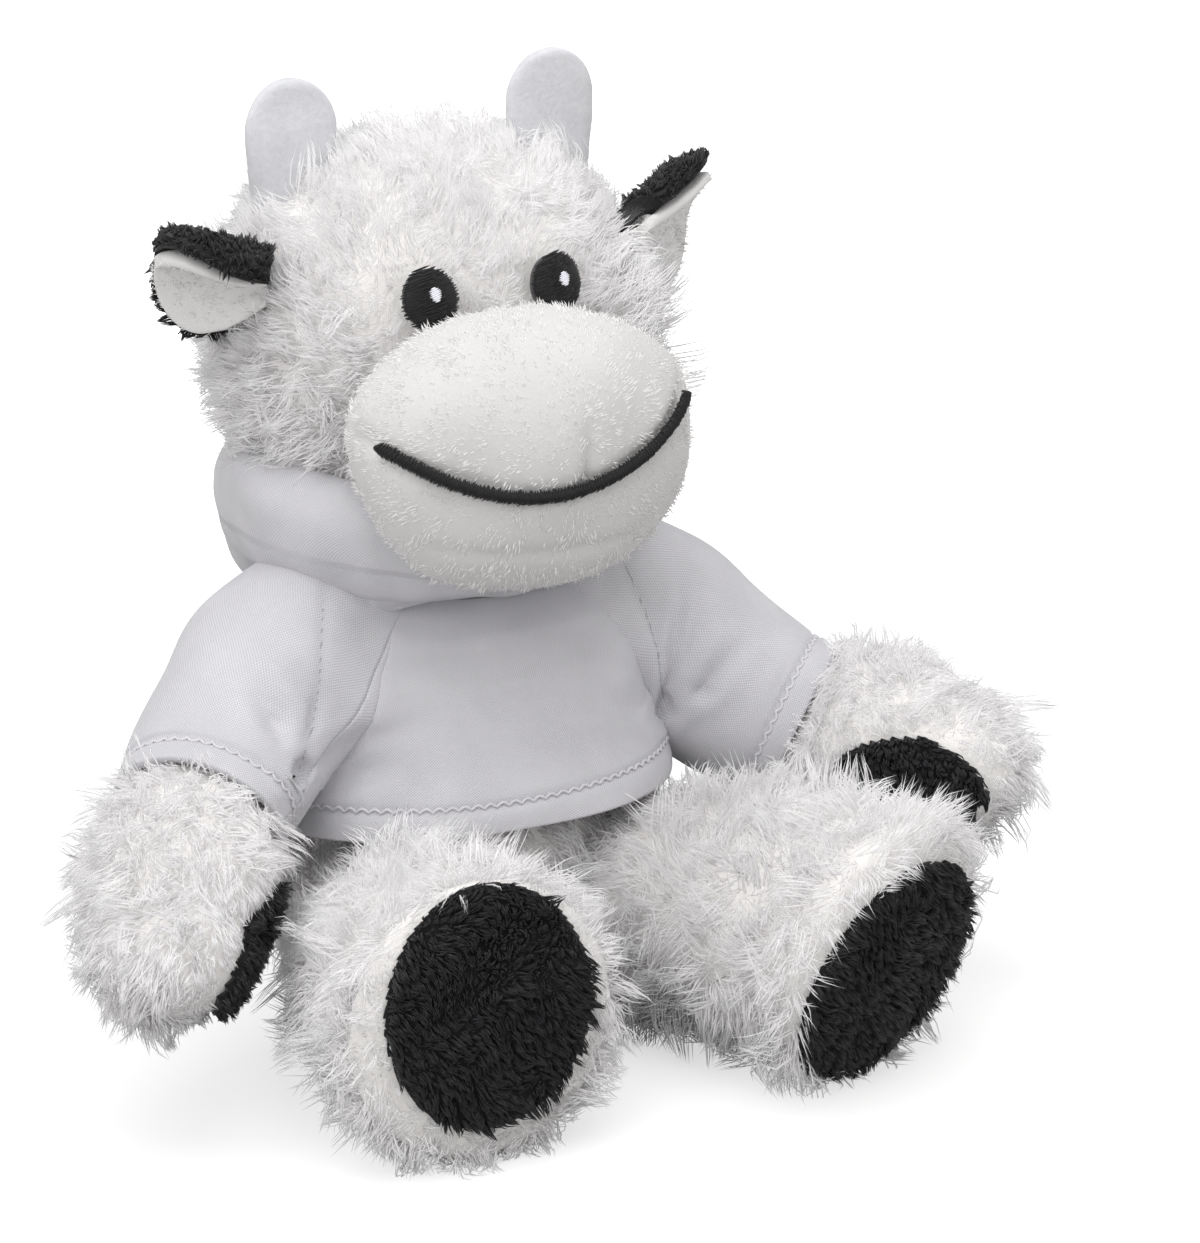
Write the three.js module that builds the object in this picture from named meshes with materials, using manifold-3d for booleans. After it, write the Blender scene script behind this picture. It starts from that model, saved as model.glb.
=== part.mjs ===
// A plush cow that sits on its seat with its legs forward and wears a knitted hoodie.
// It faces -Y, its right side is at -X, and the floor is Z = 0. Lengths are millimetres.
// Furry pieces are drawn to the middle of their pile.
import * as THREE from "three";
import { mergeVertices } from "three/addons/utils/BufferGeometryUtils.js";
import Module from "manifold-3d";

const wasm = await Module();
wasm.setup();

// Gaps and cloth
const clearance = 0.3;
const swingClearance = 0.5;
const overrun = 8;
const skinWall = 2;
const seatSink = 0.5;

// Torso: a pear that leans back, closed over by the neck
const torsoHeight = 75;
const torsoHalfWidth = 34;
const torsoHalfDepth = 31.5;
const torsoLean = 9.5;
const torsoHeightShares = [0, 0.05, 0.14, 0.28, 0.44, 0.58, 0.72, 0.83, 0.91, 0.97];
const torsoGirthShares = [0.62, 0.82, 0.95, 1, 0.98, 0.94, 0.88, 0.8, 0.66, 0.42];

// Pellet bag: the weight in the bottom of the torso
const pelletHalfWidth = 21;
const pelletHalfDepth = 19;
const pelletHalfHeight = 8;
const pelletSquareness = 2.2;
const pelletSinkShare = 0.35;

// Neck: a ball of stuffing in the neck seam
const neckRadius = 8.5;

// Head: broad, flatter at the face than behind
const headHalfWidth = 38;
const headHalfHeight = 34;
const faceDepth = 24.5;
const headBackDepth = 31;
const headSquareness = 2.25;
const headSetBack = 2.7;
const headLift = 3.1;

// Muzzle: one stuffed snout, whose two panels meet at the smile
const muzzleHalfWidth = 28.6;
const muzzleHalfDepth = 17.5;
const muzzleRise = 20;
const chinDrop = 25;
const muzzleSquareness = 2.15;
const muzzleForward = 36;
const muzzleAside = -1.3;
const muzzleDrop = 8.5;
const muzzleWall = 2.2;
const smileHalfSpan = 25.1;
const smileAside = -2.4;
const smileRise = 4.3;
const smileSag = 5.1;
const smileTilt = 1.6;
const smileThread = 1.2;

// Eyes: flat embroidery on the face
const eyeHalfWidth = 4.4;
const eyeHalfHeight = 4.9;
const eyeSpread = 11;
const eyeRise = 11;
const eyeThickness = 1;
const glintHalfSize = 1.1;
const glintThickness = 0.8;

// Horns: flat felt tongues
const hornLength = 21.3;
const hornHalfWidth = 7.7;
const hornThickness = 3.6;
const hornSpread = 22.4;
const hornSetBack = 3;
const hornSplayDegrees = 1.5;
const hornSeat = 8;
const hornLengthShares = [0, 0.2, 0.4, 0.6, 0.76, 0.88, 0.96];
const hornGirthShares = [0.86, 0.93, 1, 1, 0.92, 0.72, 0.42];

// Ears: a black back and a pale lining, cupped, swept back and tipped forward
const earLength = 15;
const earHalfHeight = 12.5;
const earBackThickness = 3.4;
const earLiningThickness = 2.2;
const earCup = 7;
const earRise = 15;
const earForward = 7;
const earSeat = 3;
const earRoot = 3.2;
const rightEarTurns = { sweep: 25, lift: 8, tip: 36 };
const leftEarTurns = { sweep: 38, lift: 1, tip: 18 };
const earLiningShare = 0.84;
const earLengthShares = [0, 0.14, 0.32, 0.52, 0.72, 0.88, 0.97];
const earGirthShares = [0.34, 0.56, 0.84, 1, 0.97, 0.76, 0.44];

// Arms: from the shoulder to the hand, as shares of the arm's length
const shoulderSpread = 27;
const shoulderHeight = 66;
const shoulderSetBack = 4;
const armLength = 66;
const armRootRadius = 13.5;
const elbowRadius = 12.2;
const handRadius = 17;
const fingerRadius = 14.5;
const shoulderSeamRadius = 5;
const shoulderSeamInset = 2.6;
const shoulderSeamRise = 6.5;
const rightArmShares = [
  [0, 0, 0],
  [-0.371, -0.242, -0.272],
  [-0.52, -0.44, -0.405],
  [-0.585, -0.545, -0.485],
];
const leftArmShares = [
  [0, 0, 0],
  [0.386, -0.242, -0.318],
  [0.56, -0.432, -0.363],
  [0.674, -0.56, -0.394],
];

// Hand pads: black patches on the palms
const padHalfLength = 12.5;
const padHalfWidth = 8.5;
const padThickness = 1.3;
const padPlaceShare = 0.92;
const rightPalmShares = [0.25, -0.75, -0.62];
const leftPalmShares = [-0.4, -0.88, -0.12];

// Legs: from the hip to the foot, across and forward as shares of the leg's length
const hipSpread = 21;
const hipForward = 20;
const legLength = 44;
const legRootRadius = 18.6;
const thighRadius = 22;
const footRadius = 22.3;
const legTallShare = 1.08;
const legWideShare = 1.06;
const soleBulge = 6.5;
const hipSeamRadius = 5.5;
const hipSeamForward = 4;
const hipSeamRise = 15;
const rightLegShares = [
  [0, 0],
  [-0.12, -0.5],
  [-0.13, -0.86],
];
const leftLegShares = [
  [0, 0],
  [0.29, -0.45],
  [0.47, -0.93],
];
const rightFootRollDegrees = 0;
const leftFootRollDegrees = 32;
const rightFootTiltDegrees = 0;
const leftFootTiltDegrees = 15;
const footTiltShare = 0.5;

// Soles: black patches on the ends of the feet
const rightSoleHalfWidth = 17.4;
const rightSoleHalfHeight = 19.3;
const leftSoleHalfWidth = 20;
const leftSoleHalfHeight = 20;
const soleThickness = 1.5;
const rightSoleLift = 3;
const leftSoleLift = -3;

// Hoodie: knitted panels, short sleeves and a hood that lies open on the shoulders
const knitWall = 1.6;
const knitEase = 0.7;
const hemFlare = 4;
const hemHeight = 39;
const collarSeatShare = 0.95;
const sideSeamSetBack = 6;
const sleeveFlare = 1.6;
const sleeveStartShare = 0.02;
const sleeveEndShare = 0.36;
const hoodRadii = { front: 23, side: 28, back: 32 };
const hoodHeights = { front: 78, side: 83.5, back: 75 };
const hoodHalfThicknesses = { front: 5.5, side: 6.5, back: 7.5 };
const hoodHalfHeights = { front: 5, side: 9, back: 17 };

// Tail: a sewn cord of plush with a black tuft
const tailHeight = 16;
const tailLength = 18;
const tailRadius = 2.8;
const tailSeamRadius = 3.2;
const tuftLength = 10;
const tuftRadius = 5.4;
const tailOutShares = [-0.12, 0.2, 0.55, 0.8];
const tailDropShares = [0, -0.05, -0.2, -0.3];
const tailWrap = 1;

// Joint ranges in degrees, which the room between the pieces follows
const armRaiseDegrees = 35;
const legRaiseDegrees = 12;
const headTurnDegrees = 12;
const headNodDegrees = 6;
const earFlopDegrees = 15;
const hornBendDegrees = 12;
const tailSwingDegrees = 45;
const roomStepDegrees = 12;

// Fineness of the forms
const bodySides = 16;
const limbSides = 14;
const innerSides = 10;
const trimSides = 8;
const seamSides = 12;

const acrossX = new THREE.Vector3(1, 0, 0);
const backY = new THREE.Vector3(0, 1, 0);
const upZ = new THREE.Vector3(0, 0, 1);
const reach = torsoHeight + headHalfHeight * 4;

// A closed solid from a geometry, turned right side out.
function solid(geometry) {
  geometry.deleteAttribute("normal");
  geometry.deleteAttribute("uv");
  const merged = mergeVertices(geometry);
  const vertProperties = merged.attributes.position.array;
  const make = (triVerts) => new wasm.Manifold(new wasm.Mesh({ numProp: 3, vertProperties, triVerts }));
  const made = make(new Uint32Array(merged.index.array));
  return made.volume() > 0 ? made : make(new Uint32Array(merged.index.array).reverse());
}

// Rings with the same count of points, joined in order and closed by a fan at each end.
function fromRings(rings, first, last) {
  const count = rings[0].length;
  const points = [...rings.flat(), first, last];
  const firstIndex = points.length - 2;
  const lastIndex = points.length - 1;
  const endRing = (rings.length - 1) * count;
  const faces = [];
  for (let i = 0; i < count; i += 1) {
    const next = (i + 1) % count;
    faces.push(firstIndex, next, i);
    faces.push(lastIndex, endRing + i, endRing + next);
    for (let low = 0; low < endRing; low += count) {
      const high = low + count;
      faces.push(low + i, low + next, high + next);
      faces.push(low + i, high + next, high + i);
    }
  }
  const geometry = new THREE.BufferGeometry().setFromPoints(points);
  geometry.setIndex(faces);
  return solid(geometry);
}

// Rings joined into one closed loop.
function fromLoop(rings) {
  const count = rings[0].length;
  const faces = [];
  rings.forEach((_, r) => {
    const low = r * count;
    const high = ((r + 1) % rings.length) * count;
    for (let i = 0; i < count; i += 1) {
      const next = (i + 1) % count;
      faces.push(low + i, low + next, high + next);
      faces.push(low + i, high + next, high + i);
    }
  });
  const geometry = new THREE.BufferGeometry().setFromPoints(rings.flat());
  geometry.setIndex(faces);
  return solid(geometry);
}

// An ellipse of points round a centre, in the plane of two unit directions.
function ellipse(centre, across, up, halfAcross, halfUp, sides) {
  return Array.from({ length: sides }, (_, i) => {
    const angle = (i / sides) * 2 * Math.PI;
    return centre
      .clone()
      .addScaledVector(across, halfAcross * Math.cos(angle))
      .addScaledVector(up, halfUp * Math.sin(angle));
  });
}

// A smooth run of numbers, read at a share of its length.
function along(values, share) {
  const spline = new THREE.SplineCurve(values.map((value, i) => new THREE.Vector2(i, value)));
  return spline.getPoint(share).y;
}

// A swollen ball with a half length of its own in each direction. |x|^p + |y|^p + |z|^p = 1.
function ball(centre, half, power, grow, sides) {
  const geometry = new THREE.SphereGeometry(1, sides, Math.round(sides / 2)).rotateX(Math.PI / 2);
  const position = geometry.attributes.position;
  for (let i = 0; i < position.count; i += 1) {
    const point = new THREE.Vector3().fromBufferAttribute(position, i);
    const sum = point.toArray().reduce((total, v) => total + Math.abs(v) ** power, 0);
    point.multiplyScalar(sum ** (-1 / power));
    point.x *= half.side + grow;
    point.y *= (point.y < 0 ? half.front : half.back) + grow;
    point.z *= (point.z < 0 ? half.down : half.up) + grow;
    position.setXYZ(i, ...point.add(centre).toArray());
  }
  return solid(geometry);
}

// The stuffed ball in a seam that bends, and the room round it, whose flats clear the ball's corners.
function seamBall(centre, radius) {
  return solid(new THREE.SphereGeometry(radius, seamSides, seamSides / 2).translate(...centre.toArray()));
}

function seamRoom(centre, radius) {
  return seamBall(centre, radius / Math.cos(Math.PI / seamSides) ** 2 + clearance);
}

// A box between two corners.
function block(low, high) {
  const size = high.clone().sub(low);
  const centre = low.clone().add(high).divideScalar(2);
  return solid(new THREE.BoxGeometry(...size.toArray()).translate(...centre.toArray()));
}

// All space between two heights.
function level(low, high) {
  return block(new THREE.Vector3(-reach, -reach, low), new THREE.Vector3(reach, reach, high));
}

// An elliptical peg from one point along a direction.
function peg(start, along, across, up, halfAcross, halfUp, length) {
  const end = start.clone().addScaledVector(along, length);
  const rings = [start, end].map((centre) => ellipse(centre, across, up, halfAcross, halfUp, limbSides));
  return fromRings(rings, start, end);
}

// The frame of a path that runs along a direction: across is level, up completes it.
function frameOf(direction, roll = 0) {
  const across = upZ.clone().cross(direction).normalize();
  const up = direction.clone().cross(across);
  across.applyAxisAngle(direction, roll);
  up.applyAxisAngle(direction, roll);
  return { across, up };
}

// How much of a foot's tilt a share of its leg has: none up to the start, all of it at the end.
function tiltAt(shape, share) {
  const slope = Math.tan(THREE.MathUtils.degToRad(shape.tilt ?? 0));
  return slope * Math.max(0, (share - footTiltShare) / (1 - footTiltShare));
}

// A stuffed limb: a tube that swells along its path, with rounded ends or flat ones.
// A tilt slants its end, so that the top stands further out than the bottom.
function limb(shape, grow = 0, { from = 0, to = 1, round = true, sides = limbSides, steps = 6 } = {}) {
  const curve = new THREE.CatmullRomCurve3(shape.points, false, "centripetal");
  const growAt = typeof grow === "function" ? grow : () => grow;
  const ringAt = (share, shift, size) => {
    const direction = curve.getTangent(share);
    const roll = THREE.MathUtils.degToRad(shape.roll ?? 0) * share;
    const { across, up } = frameOf(direction, roll);
    const rise = frameOf(direction).up;
    const tilt = tiltAt(shape, share);
    const radius = along(shape.radii, share);
    const halfAcross = (radius * (shape.wide ?? 1) + growAt(share)) * size;
    const halfUp = (radius * (shape.tall ?? 1) + growAt(share)) * size;
    const centre = curve.getPoint(share).addScaledVector(direction, shift);
    const ring = ellipse(centre, across, up, halfAcross, halfUp, sides);
    return ring.map((point) => {
      const above = point.clone().sub(centre).dot(rise);
      return point.addScaledVector(direction, tilt * above);
    });
  };
  const caps = round ? [1, 2] : [];
  const rootDepth = shape.rootDepth + growAt(from);
  const tipDepth = shape.tipDepth + growAt(to);
  const angles = caps.map((k) => (k / (caps.length + 1)) * (Math.PI / 2));
  const rings = angles.map((angle) => ringAt(from, -rootDepth * Math.cos(angle), Math.sin(angle)));
  for (let i = 0; i <= steps; i += 1) rings.push(ringAt(from + ((to - from) * i) / steps, 0, 1));
  angles.reverse().forEach((angle) => rings.push(ringAt(to, tipDepth * Math.cos(angle), Math.sin(angle))));
  const first = curve.getPoint(from).addScaledVector(curve.getTangent(from), round ? -rootDepth : 0);
  const last = curve.getPoint(to).addScaledVector(curve.getTangent(to), round ? tipDepth : 0);
  return fromRings(rings, first, last);
}

function join(solids) {
  return solids.reduce((whole, next) => whole.add(next));
}

// A solid turned about a hinge by some degrees.
function turned(form, hinge, degrees) {
  const move = new THREE.Matrix4()
    .makeTranslation(hinge.at)
    .multiply(new THREE.Matrix4().makeRotationAxis(hinge.axis, THREE.MathUtils.degToRad(degrees)))
    .multiply(new THREE.Matrix4().makeTranslation(hinge.at.clone().negate()));
  return form.transform(move.elements);
}

// The space that a solid passes through as it turns from one angle to another.
function swept(form, hinge, low, high) {
  const count = Math.ceil((high - low) / roomStepDegrees);
  const angles = Array.from({ length: count + 1 }, (_, i) => low + ((high - low) * i) / count);
  return join(angles.map((degrees) => turned(form, hinge, degrees)));
}

// A moving solid, trimmed so that it clears a still one anywhere in its range.
function cleared(moving, still, hinge, low, high) {
  return moving.subtract(swept(still, hinge, -high, -low));
}

// A patch of cloth on a form: the form's outer layer inside a cutter.
function patch(form, thickness, cutter) {
  return form(clearance + thickness).subtract(form(clearance)).intersect(cutter);
}

// Torso
function torsoForm(growth, sides = bodySides) {
  const growAt = typeof growth === "function" ? growth : () => growth;
  const rings = torsoHeightShares.map((share, i) => {
    const grow = growAt(share);
    const height = -seatSink + share * (torsoHeight + seatSink);
    const lift = share === 0 ? -grow : share * grow;
    const centre = new THREE.Vector3(0, share * torsoLean, height + lift);
    const halfWidth = torsoGirthShares[i] * torsoHalfWidth + grow;
    const halfDepth = torsoGirthShares[i] * torsoHalfDepth + grow;
    return ellipse(centre, acrossX, backY, halfWidth, halfDepth, sides);
  });
  const bottom = new THREE.Vector3(0, 0, -seatSink - growAt(0));
  return fromRings(rings, bottom, new THREE.Vector3(0, torsoLean, torsoHeight + growAt(1)));
}

const aboveFloor = level(0, reach);
const neck = new THREE.Vector3(0, torsoLean, torsoHeight);
const torsoWhole = torsoForm(0).intersect(aboveFloor);
const knitOuter = knitEase + knitWall;

// The torso's form under the hoodie: the cloth stands off more and more towards its hem.
function hoodieForm(grow, sides = bodySides) {
  const hemShare = hemHeight / torsoHeight;
  const flare = (share) => hemFlare * Math.max(0, 1 - (share - hemShare) / (1 - hemShare)) ** 2;
  return torsoForm((share) => flare(Math.max(share, hemShare)) + grow, sides);
}

// Pellet bag
const pelletFloor = skinWall + clearance - seatSink;
const pelletCentre = new THREE.Vector3(0, 0, pelletFloor + pelletHalfHeight * (1 - pelletSinkShare));
const pelletHalf = {
  side: pelletHalfWidth,
  front: pelletHalfDepth,
  back: pelletHalfDepth,
  up: pelletHalfHeight,
  down: pelletHalfHeight,
};
const pelletForm = (grow) => ball(pelletCentre, pelletHalf, pelletSquareness, grow, limbSides);

// Shoulders and hips
function armShape(side) {
  const shares = side < 0 ? rightArmShares : leftArmShares;
  const shoulder = new THREE.Vector3(side * shoulderSpread, shoulderSetBack, shoulderHeight);
  return {
    points: shares.map((share) => new THREE.Vector3(...share).multiplyScalar(armLength).add(shoulder)),
    radii: [armRootRadius, elbowRadius, handRadius, fingerRadius],
    rootDepth: armRootRadius,
    tipDepth: fingerRadius,
  };
}

function shoulderHinge(side) {
  const inset = shoulderSpread - shoulderSeamInset;
  const height = shoulderHeight + shoulderSeamRise;
  const at = new THREE.Vector3(side * inset, shoulderSetBack, height);
  return { at, axis: backY.clone().multiplyScalar(-side) };
}

// A leg's height above the floor follows its girth, so that its underside lies on the floor.
function legShape(side) {
  const shares = side < 0 ? rightLegShares : leftLegShares;
  const roll = side < 0 ? rightFootRollDegrees : leftFootRollDegrees;
  const radii = [legRootRadius, thighRadius, footRadius];
  const points = shares.map(([across, forward], i) => {
    const turn = THREE.MathUtils.degToRad(roll) * (i / (shares.length - 1));
    const drop = Math.hypot(legTallShare * Math.cos(turn), legWideShare * Math.sin(turn)) * radii[i];
    return new THREE.Vector3(
      side * hipSpread + across * legLength,
      -hipForward + forward * legLength,
      drop - seatSink,
    );
  });
  return {
    points,
    radii,
    roll: roll,
    tilt: side < 0 ? rightFootTiltDegrees : leftFootTiltDegrees,
    tall: legTallShare,
    wide: legWideShare,
    rootDepth: legRootRadius,
    tipDepth: soleBulge,
  };
}

function hipHinge(side) {
  const root = legShape(side).points[0];
  const at = new THREE.Vector3(side * hipSpread, -hipForward - hipSeamForward, root.z + hipSeamRise);
  return { at, axis: acrossX.clone().negate() };
}

const shoulders = [-1, 1].map(shoulderHinge);
const hips = [-1, 1].map(hipHinge);
const tailHinge = {
  at: new THREE.Vector3(0, torsoHalfDepth - tailSeamRadius / 2, tailHeight),
  axis: acrossX.clone(),
};

const neckSocket = seamRoom(neck, neckRadius);
const torsoSockets = join([
  neckSocket,
  ...shoulders.map(({ at }) => seamRoom(at, shoulderSeamRadius)),
  ...hips.map(({ at }) => seamRoom(at, hipSeamRadius)),
  seamRoom(tailHinge.at, tailSeamRadius),
]);
const hoodieOuter = hoodieForm(knitOuter).intersect(level(hemHeight, torsoHeight * collarSeatShare));
const torsoRoom = join([
  torsoForm(swingClearance),
  hoodieForm(knitOuter + swingClearance).intersect(
    level(hemHeight - swingClearance, torsoHeight * collarSeatShare + swingClearance),
  ),
]);

// Head
const headCentre = neck.clone().add(new THREE.Vector3(0, headSetBack, headHalfHeight + headLift));
const headHalf = {
  side: headHalfWidth,
  front: faceDepth,
  back: headBackDepth,
  up: headHalfHeight,
  down: headHalfHeight,
};
const headForm = (grow, sides = bodySides) => ball(headCentre, headHalf, headSquareness, grow, sides);

// Muzzle
const muzzleCentre = headCentre.clone().add(new THREE.Vector3(muzzleAside, -muzzleForward, -muzzleDrop));
const muzzleHalf = {
  side: muzzleHalfWidth,
  front: muzzleHalfDepth,
  back: muzzleHalfDepth,
  up: muzzleRise,
  down: chinDrop,
};
const muzzleForm = (grow, sides = bodySides) =>
  ball(muzzleCentre, muzzleHalf, muzzleSquareness, grow, sides);

// The smile's height over the muzzle's middle, at a place across: a parabola with a slight tilt.
function smileHeight(across) {
  const share = (across - smileAside) / smileHalfSpan;
  return -smileSag + (smileSag + smileRise) * share ** 2 + smileTilt * share;
}

// How far the muzzle's front stands forward of its middle at a place on the smile.
function muzzleFront(across, height) {
  const tall = height < 0 ? chinDrop : muzzleRise;
  const used =
    Math.abs(across / muzzleHalfWidth) ** muzzleSquareness + Math.abs(height / tall) ** muzzleSquareness;
  return muzzleHalfDepth * Math.max(0, 1 - used) ** (1 / muzzleSquareness);
}

function smilePoint(share) {
  const across = smileAside + smileHalfSpan * share;
  const height = smileHeight(across);
  return new THREE.Vector3(across, -muzzleFront(across, height), height).add(muzzleCentre);
}

// All space above the smile, shifted up or down.
function overSmile(shift) {
  const steps = Array.from({ length: trimSides + 1 }, (_, i) => (2 * i) / trimSides - 1);
  const edge = steps.map((share) => {
    const across = share * (muzzleHalfWidth + overrun);
    return new THREE.Vector2(across, smileHeight(across) + shift);
  });
  const top = new THREE.Vector2(muzzleHalfWidth + overrun, reach);
  const outline = new THREE.Shape([...edge, top, new THREE.Vector2(-top.x, top.y)]);
  const depth = 2 * (muzzleForward + muzzleHalfDepth);
  const geometry = new THREE.ExtrudeGeometry(outline, { depth, bevelEnabled: false })
    .rotateX(Math.PI / 2)
    .translate(0, depth / 2, 0)
    .translate(...muzzleCentre.toArray());
  return solid(geometry);
}

function smileStitch() {
  const points = Array.from({ length: bodySides + 1 }, (_, i) => smilePoint((2 * i) / bodySides - 1));
  const path = new THREE.CatmullRomCurve3(points, false, "centripetal");
  const section = new THREE.Shape().absarc(0, 0, smileThread, 0, 2 * Math.PI);
  const geometry = new THREE.ExtrudeGeometry(section, {
    steps: bodySides,
    curveSegments: trimSides / 2,
    bevelEnabled: false,
    extrudePath: path,
  });
  return solid(geometry).subtract(muzzleForm(clearance));
}

// A peg that points out of the face at an eye.
function eyePeg(side, halfWidth, halfHeight) {
  const start = headCentre.clone().add(new THREE.Vector3(side * eyeSpread, 0, eyeRise));
  return peg(start, backY.clone().negate(), acrossX, upZ, halfWidth, halfHeight, faceDepth + overrun);
}

// Horns
function hornShape(side) {
  const lean = THREE.MathUtils.degToRad(hornSplayDegrees) * side;
  const up = new THREE.Vector3(Math.sin(lean), 0, Math.cos(lean));
  const across = new THREE.Vector3(Math.cos(lean), 0, -Math.sin(lean));
  const spot = new THREE.Vector3(side * hornSpread, hornSetBack, 0);
  const used =
    (hornSpread / headHalfWidth) ** headSquareness + (hornSetBack / headBackDepth) ** headSquareness;
  spot.z = headHalfHeight * (1 - used) ** (1 / headSquareness);
  return { base: spot.add(headCentre), up, across };
}

function hornHinge(side) {
  return { at: hornShape(side).base, axis: acrossX.clone() };
}

function horn(side) {
  const { base, up, across } = hornShape(side);
  const start = base.clone().addScaledVector(up, -hornSeat);
  const rings = hornLengthShares.map((share, i) => {
    const centre = start.clone().addScaledVector(up, share * hornLength);
    const halfAcross = hornHalfWidth * hornGirthShares[i];
    const halfThick = (hornThickness / 2) * Math.sqrt(hornGirthShares[i]);
    return ellipse(centre, across, backY, halfAcross, halfThick, trimSides);
  });
  const form = fromRings(rings, start, start.clone().addScaledVector(up, hornLength));
  return cleared(form, headForm(swingClearance), hornHinge(side), -hornBendDegrees, hornBendDegrees);
}

// Ears
function earFrame(side) {
  const turns = side < 0 ? rightEarTurns : leftEarTurns;
  const sweep = THREE.MathUtils.degToRad(turns.sweep);
  const lift = THREE.MathUtils.degToRad(turns.lift);
  const out = new THREE.Vector3(
    side * Math.cos(sweep) * Math.cos(lift),
    Math.sin(sweep) * Math.cos(lift),
    Math.sin(lift),
  );
  const up = upZ.clone().addScaledVector(out, -out.z).normalize();
  const face = out.clone().cross(up).multiplyScalar(side);
  const tip = THREE.MathUtils.degToRad(turns.tip) * side;
  up.applyAxisAngle(out, tip);
  face.applyAxisAngle(out, tip);
  const used =
    (earRise / headHalfHeight) ** headSquareness + (earForward / faceDepth) ** headSquareness;
  const spread = headHalfWidth * (1 - used) ** (1 / headSquareness);
  const base = new THREE.Vector3(side * spread, -earForward, earRise).add(headCentre);
  return { base, out, up, face };
}

function earHinge(side) {
  return { at: earFrame(side).base, axis: backY.clone().multiplyScalar(-side) };
}

// One layer of an ear, between two distances in front of the ear's middle surface.
function earLayer(side, size, near, far) {
  const { base, out, up, face } = earFrame(side);
  const half = trimSides / 2;
  const widths = Array.from({ length: half }, (_, i) => (2 * i) / (half - 1) - 1);
  const start = base.clone().addScaledVector(out, -earSeat);
  const rings = earLengthShares.map((share, i) => {
    const centre = start.clone().addScaledVector(out, share * (earLength + earSeat));
    const halfHeight = earHalfHeight * earGirthShares[i] * size;
    const edge = (width, depth) =>
      centre
        .clone()
        .addScaledVector(up, halfHeight * width)
        .addScaledVector(face, depth + earCup * width * width * earGirthShares[i]);
    const back = widths.map((width) => edge(width, near));
    const front = widths.map((width) => edge(-width, far));
    return [...back, ...front];
  });
  const last = start.clone().addScaledVector(out, earLength + earSeat);
  const middle = (near + far) / 2;
  return fromRings(
    rings,
    start.clone().addScaledVector(face, middle),
    last.addScaledVector(face, middle),
  );
}

function clearOfHead(form, side) {
  return cleared(form, headForm(swingClearance), earHinge(side), -earFlopDegrees, earFlopDegrees);
}

function earBackPiece(side) {
  const leaf = clearOfHead(earLayer(side, 1, -earBackThickness, 0), side);
  return leaf.add(seamBall(earHinge(side).at, earRoot));
}

function earLiningPiece(side) {
  const leaf = earLayer(side, earLiningShare, clearance, clearance + earLiningThickness);
  return clearOfHead(leaf, side).subtract(seamBall(earHinge(side).at, earRoot + clearance));
}

const headSockets = join([
  neckSocket,
  ...[-1, 1].map((side) => seamRoom(earHinge(side).at, earRoot)),
]);

// Arms, which rest against the hoodie and the thighs
function clearOfHoodie(form, side) {
  const at = side < 0 ? 0 : 1;
  const thigh = swept(limb(legShape(side), swingClearance), hips[at], 0, legRaiseDegrees);
  return cleared(form, torsoRoom.add(thigh), shoulders[at], 0, armRaiseDegrees);
}

function armSkin(side) {
  const shape = armShape(side);
  const seam = seamBall(shoulders[side < 0 ? 0 : 1].at, shoulderSeamRadius);
  const hollow = limb(shape, -skinWall, { sides: trimSides });
  return clearOfHoodie(limb(shape).subtract(hollow), side).add(seam);
}

function armStuffing(side) {
  const shape = armShape(side);
  const seam = seamBall(shoulders[side < 0 ? 0 : 1].at, shoulderSeamRadius + clearance);
  const core = limb(shape, -skinWall - clearance, { sides: trimSides });
  return clearOfHoodie(core, side).subtract(seam);
}

// A sleeve's tube, which widens towards its hem.
function sleeveForm(side, grow, from, to) {
  const flare = (share) => knitEase + sleeveFlare * share + grow;
  return limb(armShape(side), flare, { from, to, round: false, steps: 4 });
}

function sleeve(side) {
  const seam = seamBall(shoulders[side < 0 ? 0 : 1].at, shoulderSeamRadius + clearance);
  const outer = sleeveForm(side, knitWall, sleeveStartShare, sleeveEndShare);
  const inner = sleeveForm(side, 0, 0, sleeveEndShare + sleeveStartShare);
  return clearOfHoodie(outer.subtract(inner), side).subtract(seam);
}

// A patch on the palm: an ellipse that faces along a direction out of the hand.
function handPad(side) {
  const shape = armShape(side);
  const curve = new THREE.CatmullRomCurve3(shape.points, false, "centripetal");
  const middle = curve.getPoint(padPlaceShare);
  const run = curve.getTangent(padPlaceShare);
  const palm = new THREE.Vector3(...(side < 0 ? rightPalmShares : leftPalmShares)).normalize();
  palm.addScaledVector(run, -palm.dot(run)).normalize();
  const across = run.clone().cross(palm);
  const cutter = peg(middle, palm, run, across, padHalfLength, padHalfWidth, handRadius + overrun);
  return clearOfHoodie(patch((grow) => limb(shape, grow), padThickness, cutter), side);
}

// Legs
function clearOfTorso(form, side) {
  return cleared(form, torsoRoom, hips[side < 0 ? 0 : 1], 0, legRaiseDegrees);
}

function legSkin(side) {
  const shape = legShape(side);
  const seam = seamBall(hips[side < 0 ? 0 : 1].at, hipSeamRadius);
  const hollow = limb(shape, -skinWall, { sides: trimSides });
  return clearOfTorso(limb(shape).subtract(hollow), side).add(seam).intersect(aboveFloor);
}

function legStuffing(side) {
  const shape = legShape(side);
  const seam = seamBall(hips[side < 0 ? 0 : 1].at, hipSeamRadius + clearance);
  const core = limb(shape, -skinWall - clearance, { sides: trimSides });
  return clearOfTorso(core, side).subtract(seam);
}

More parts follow.
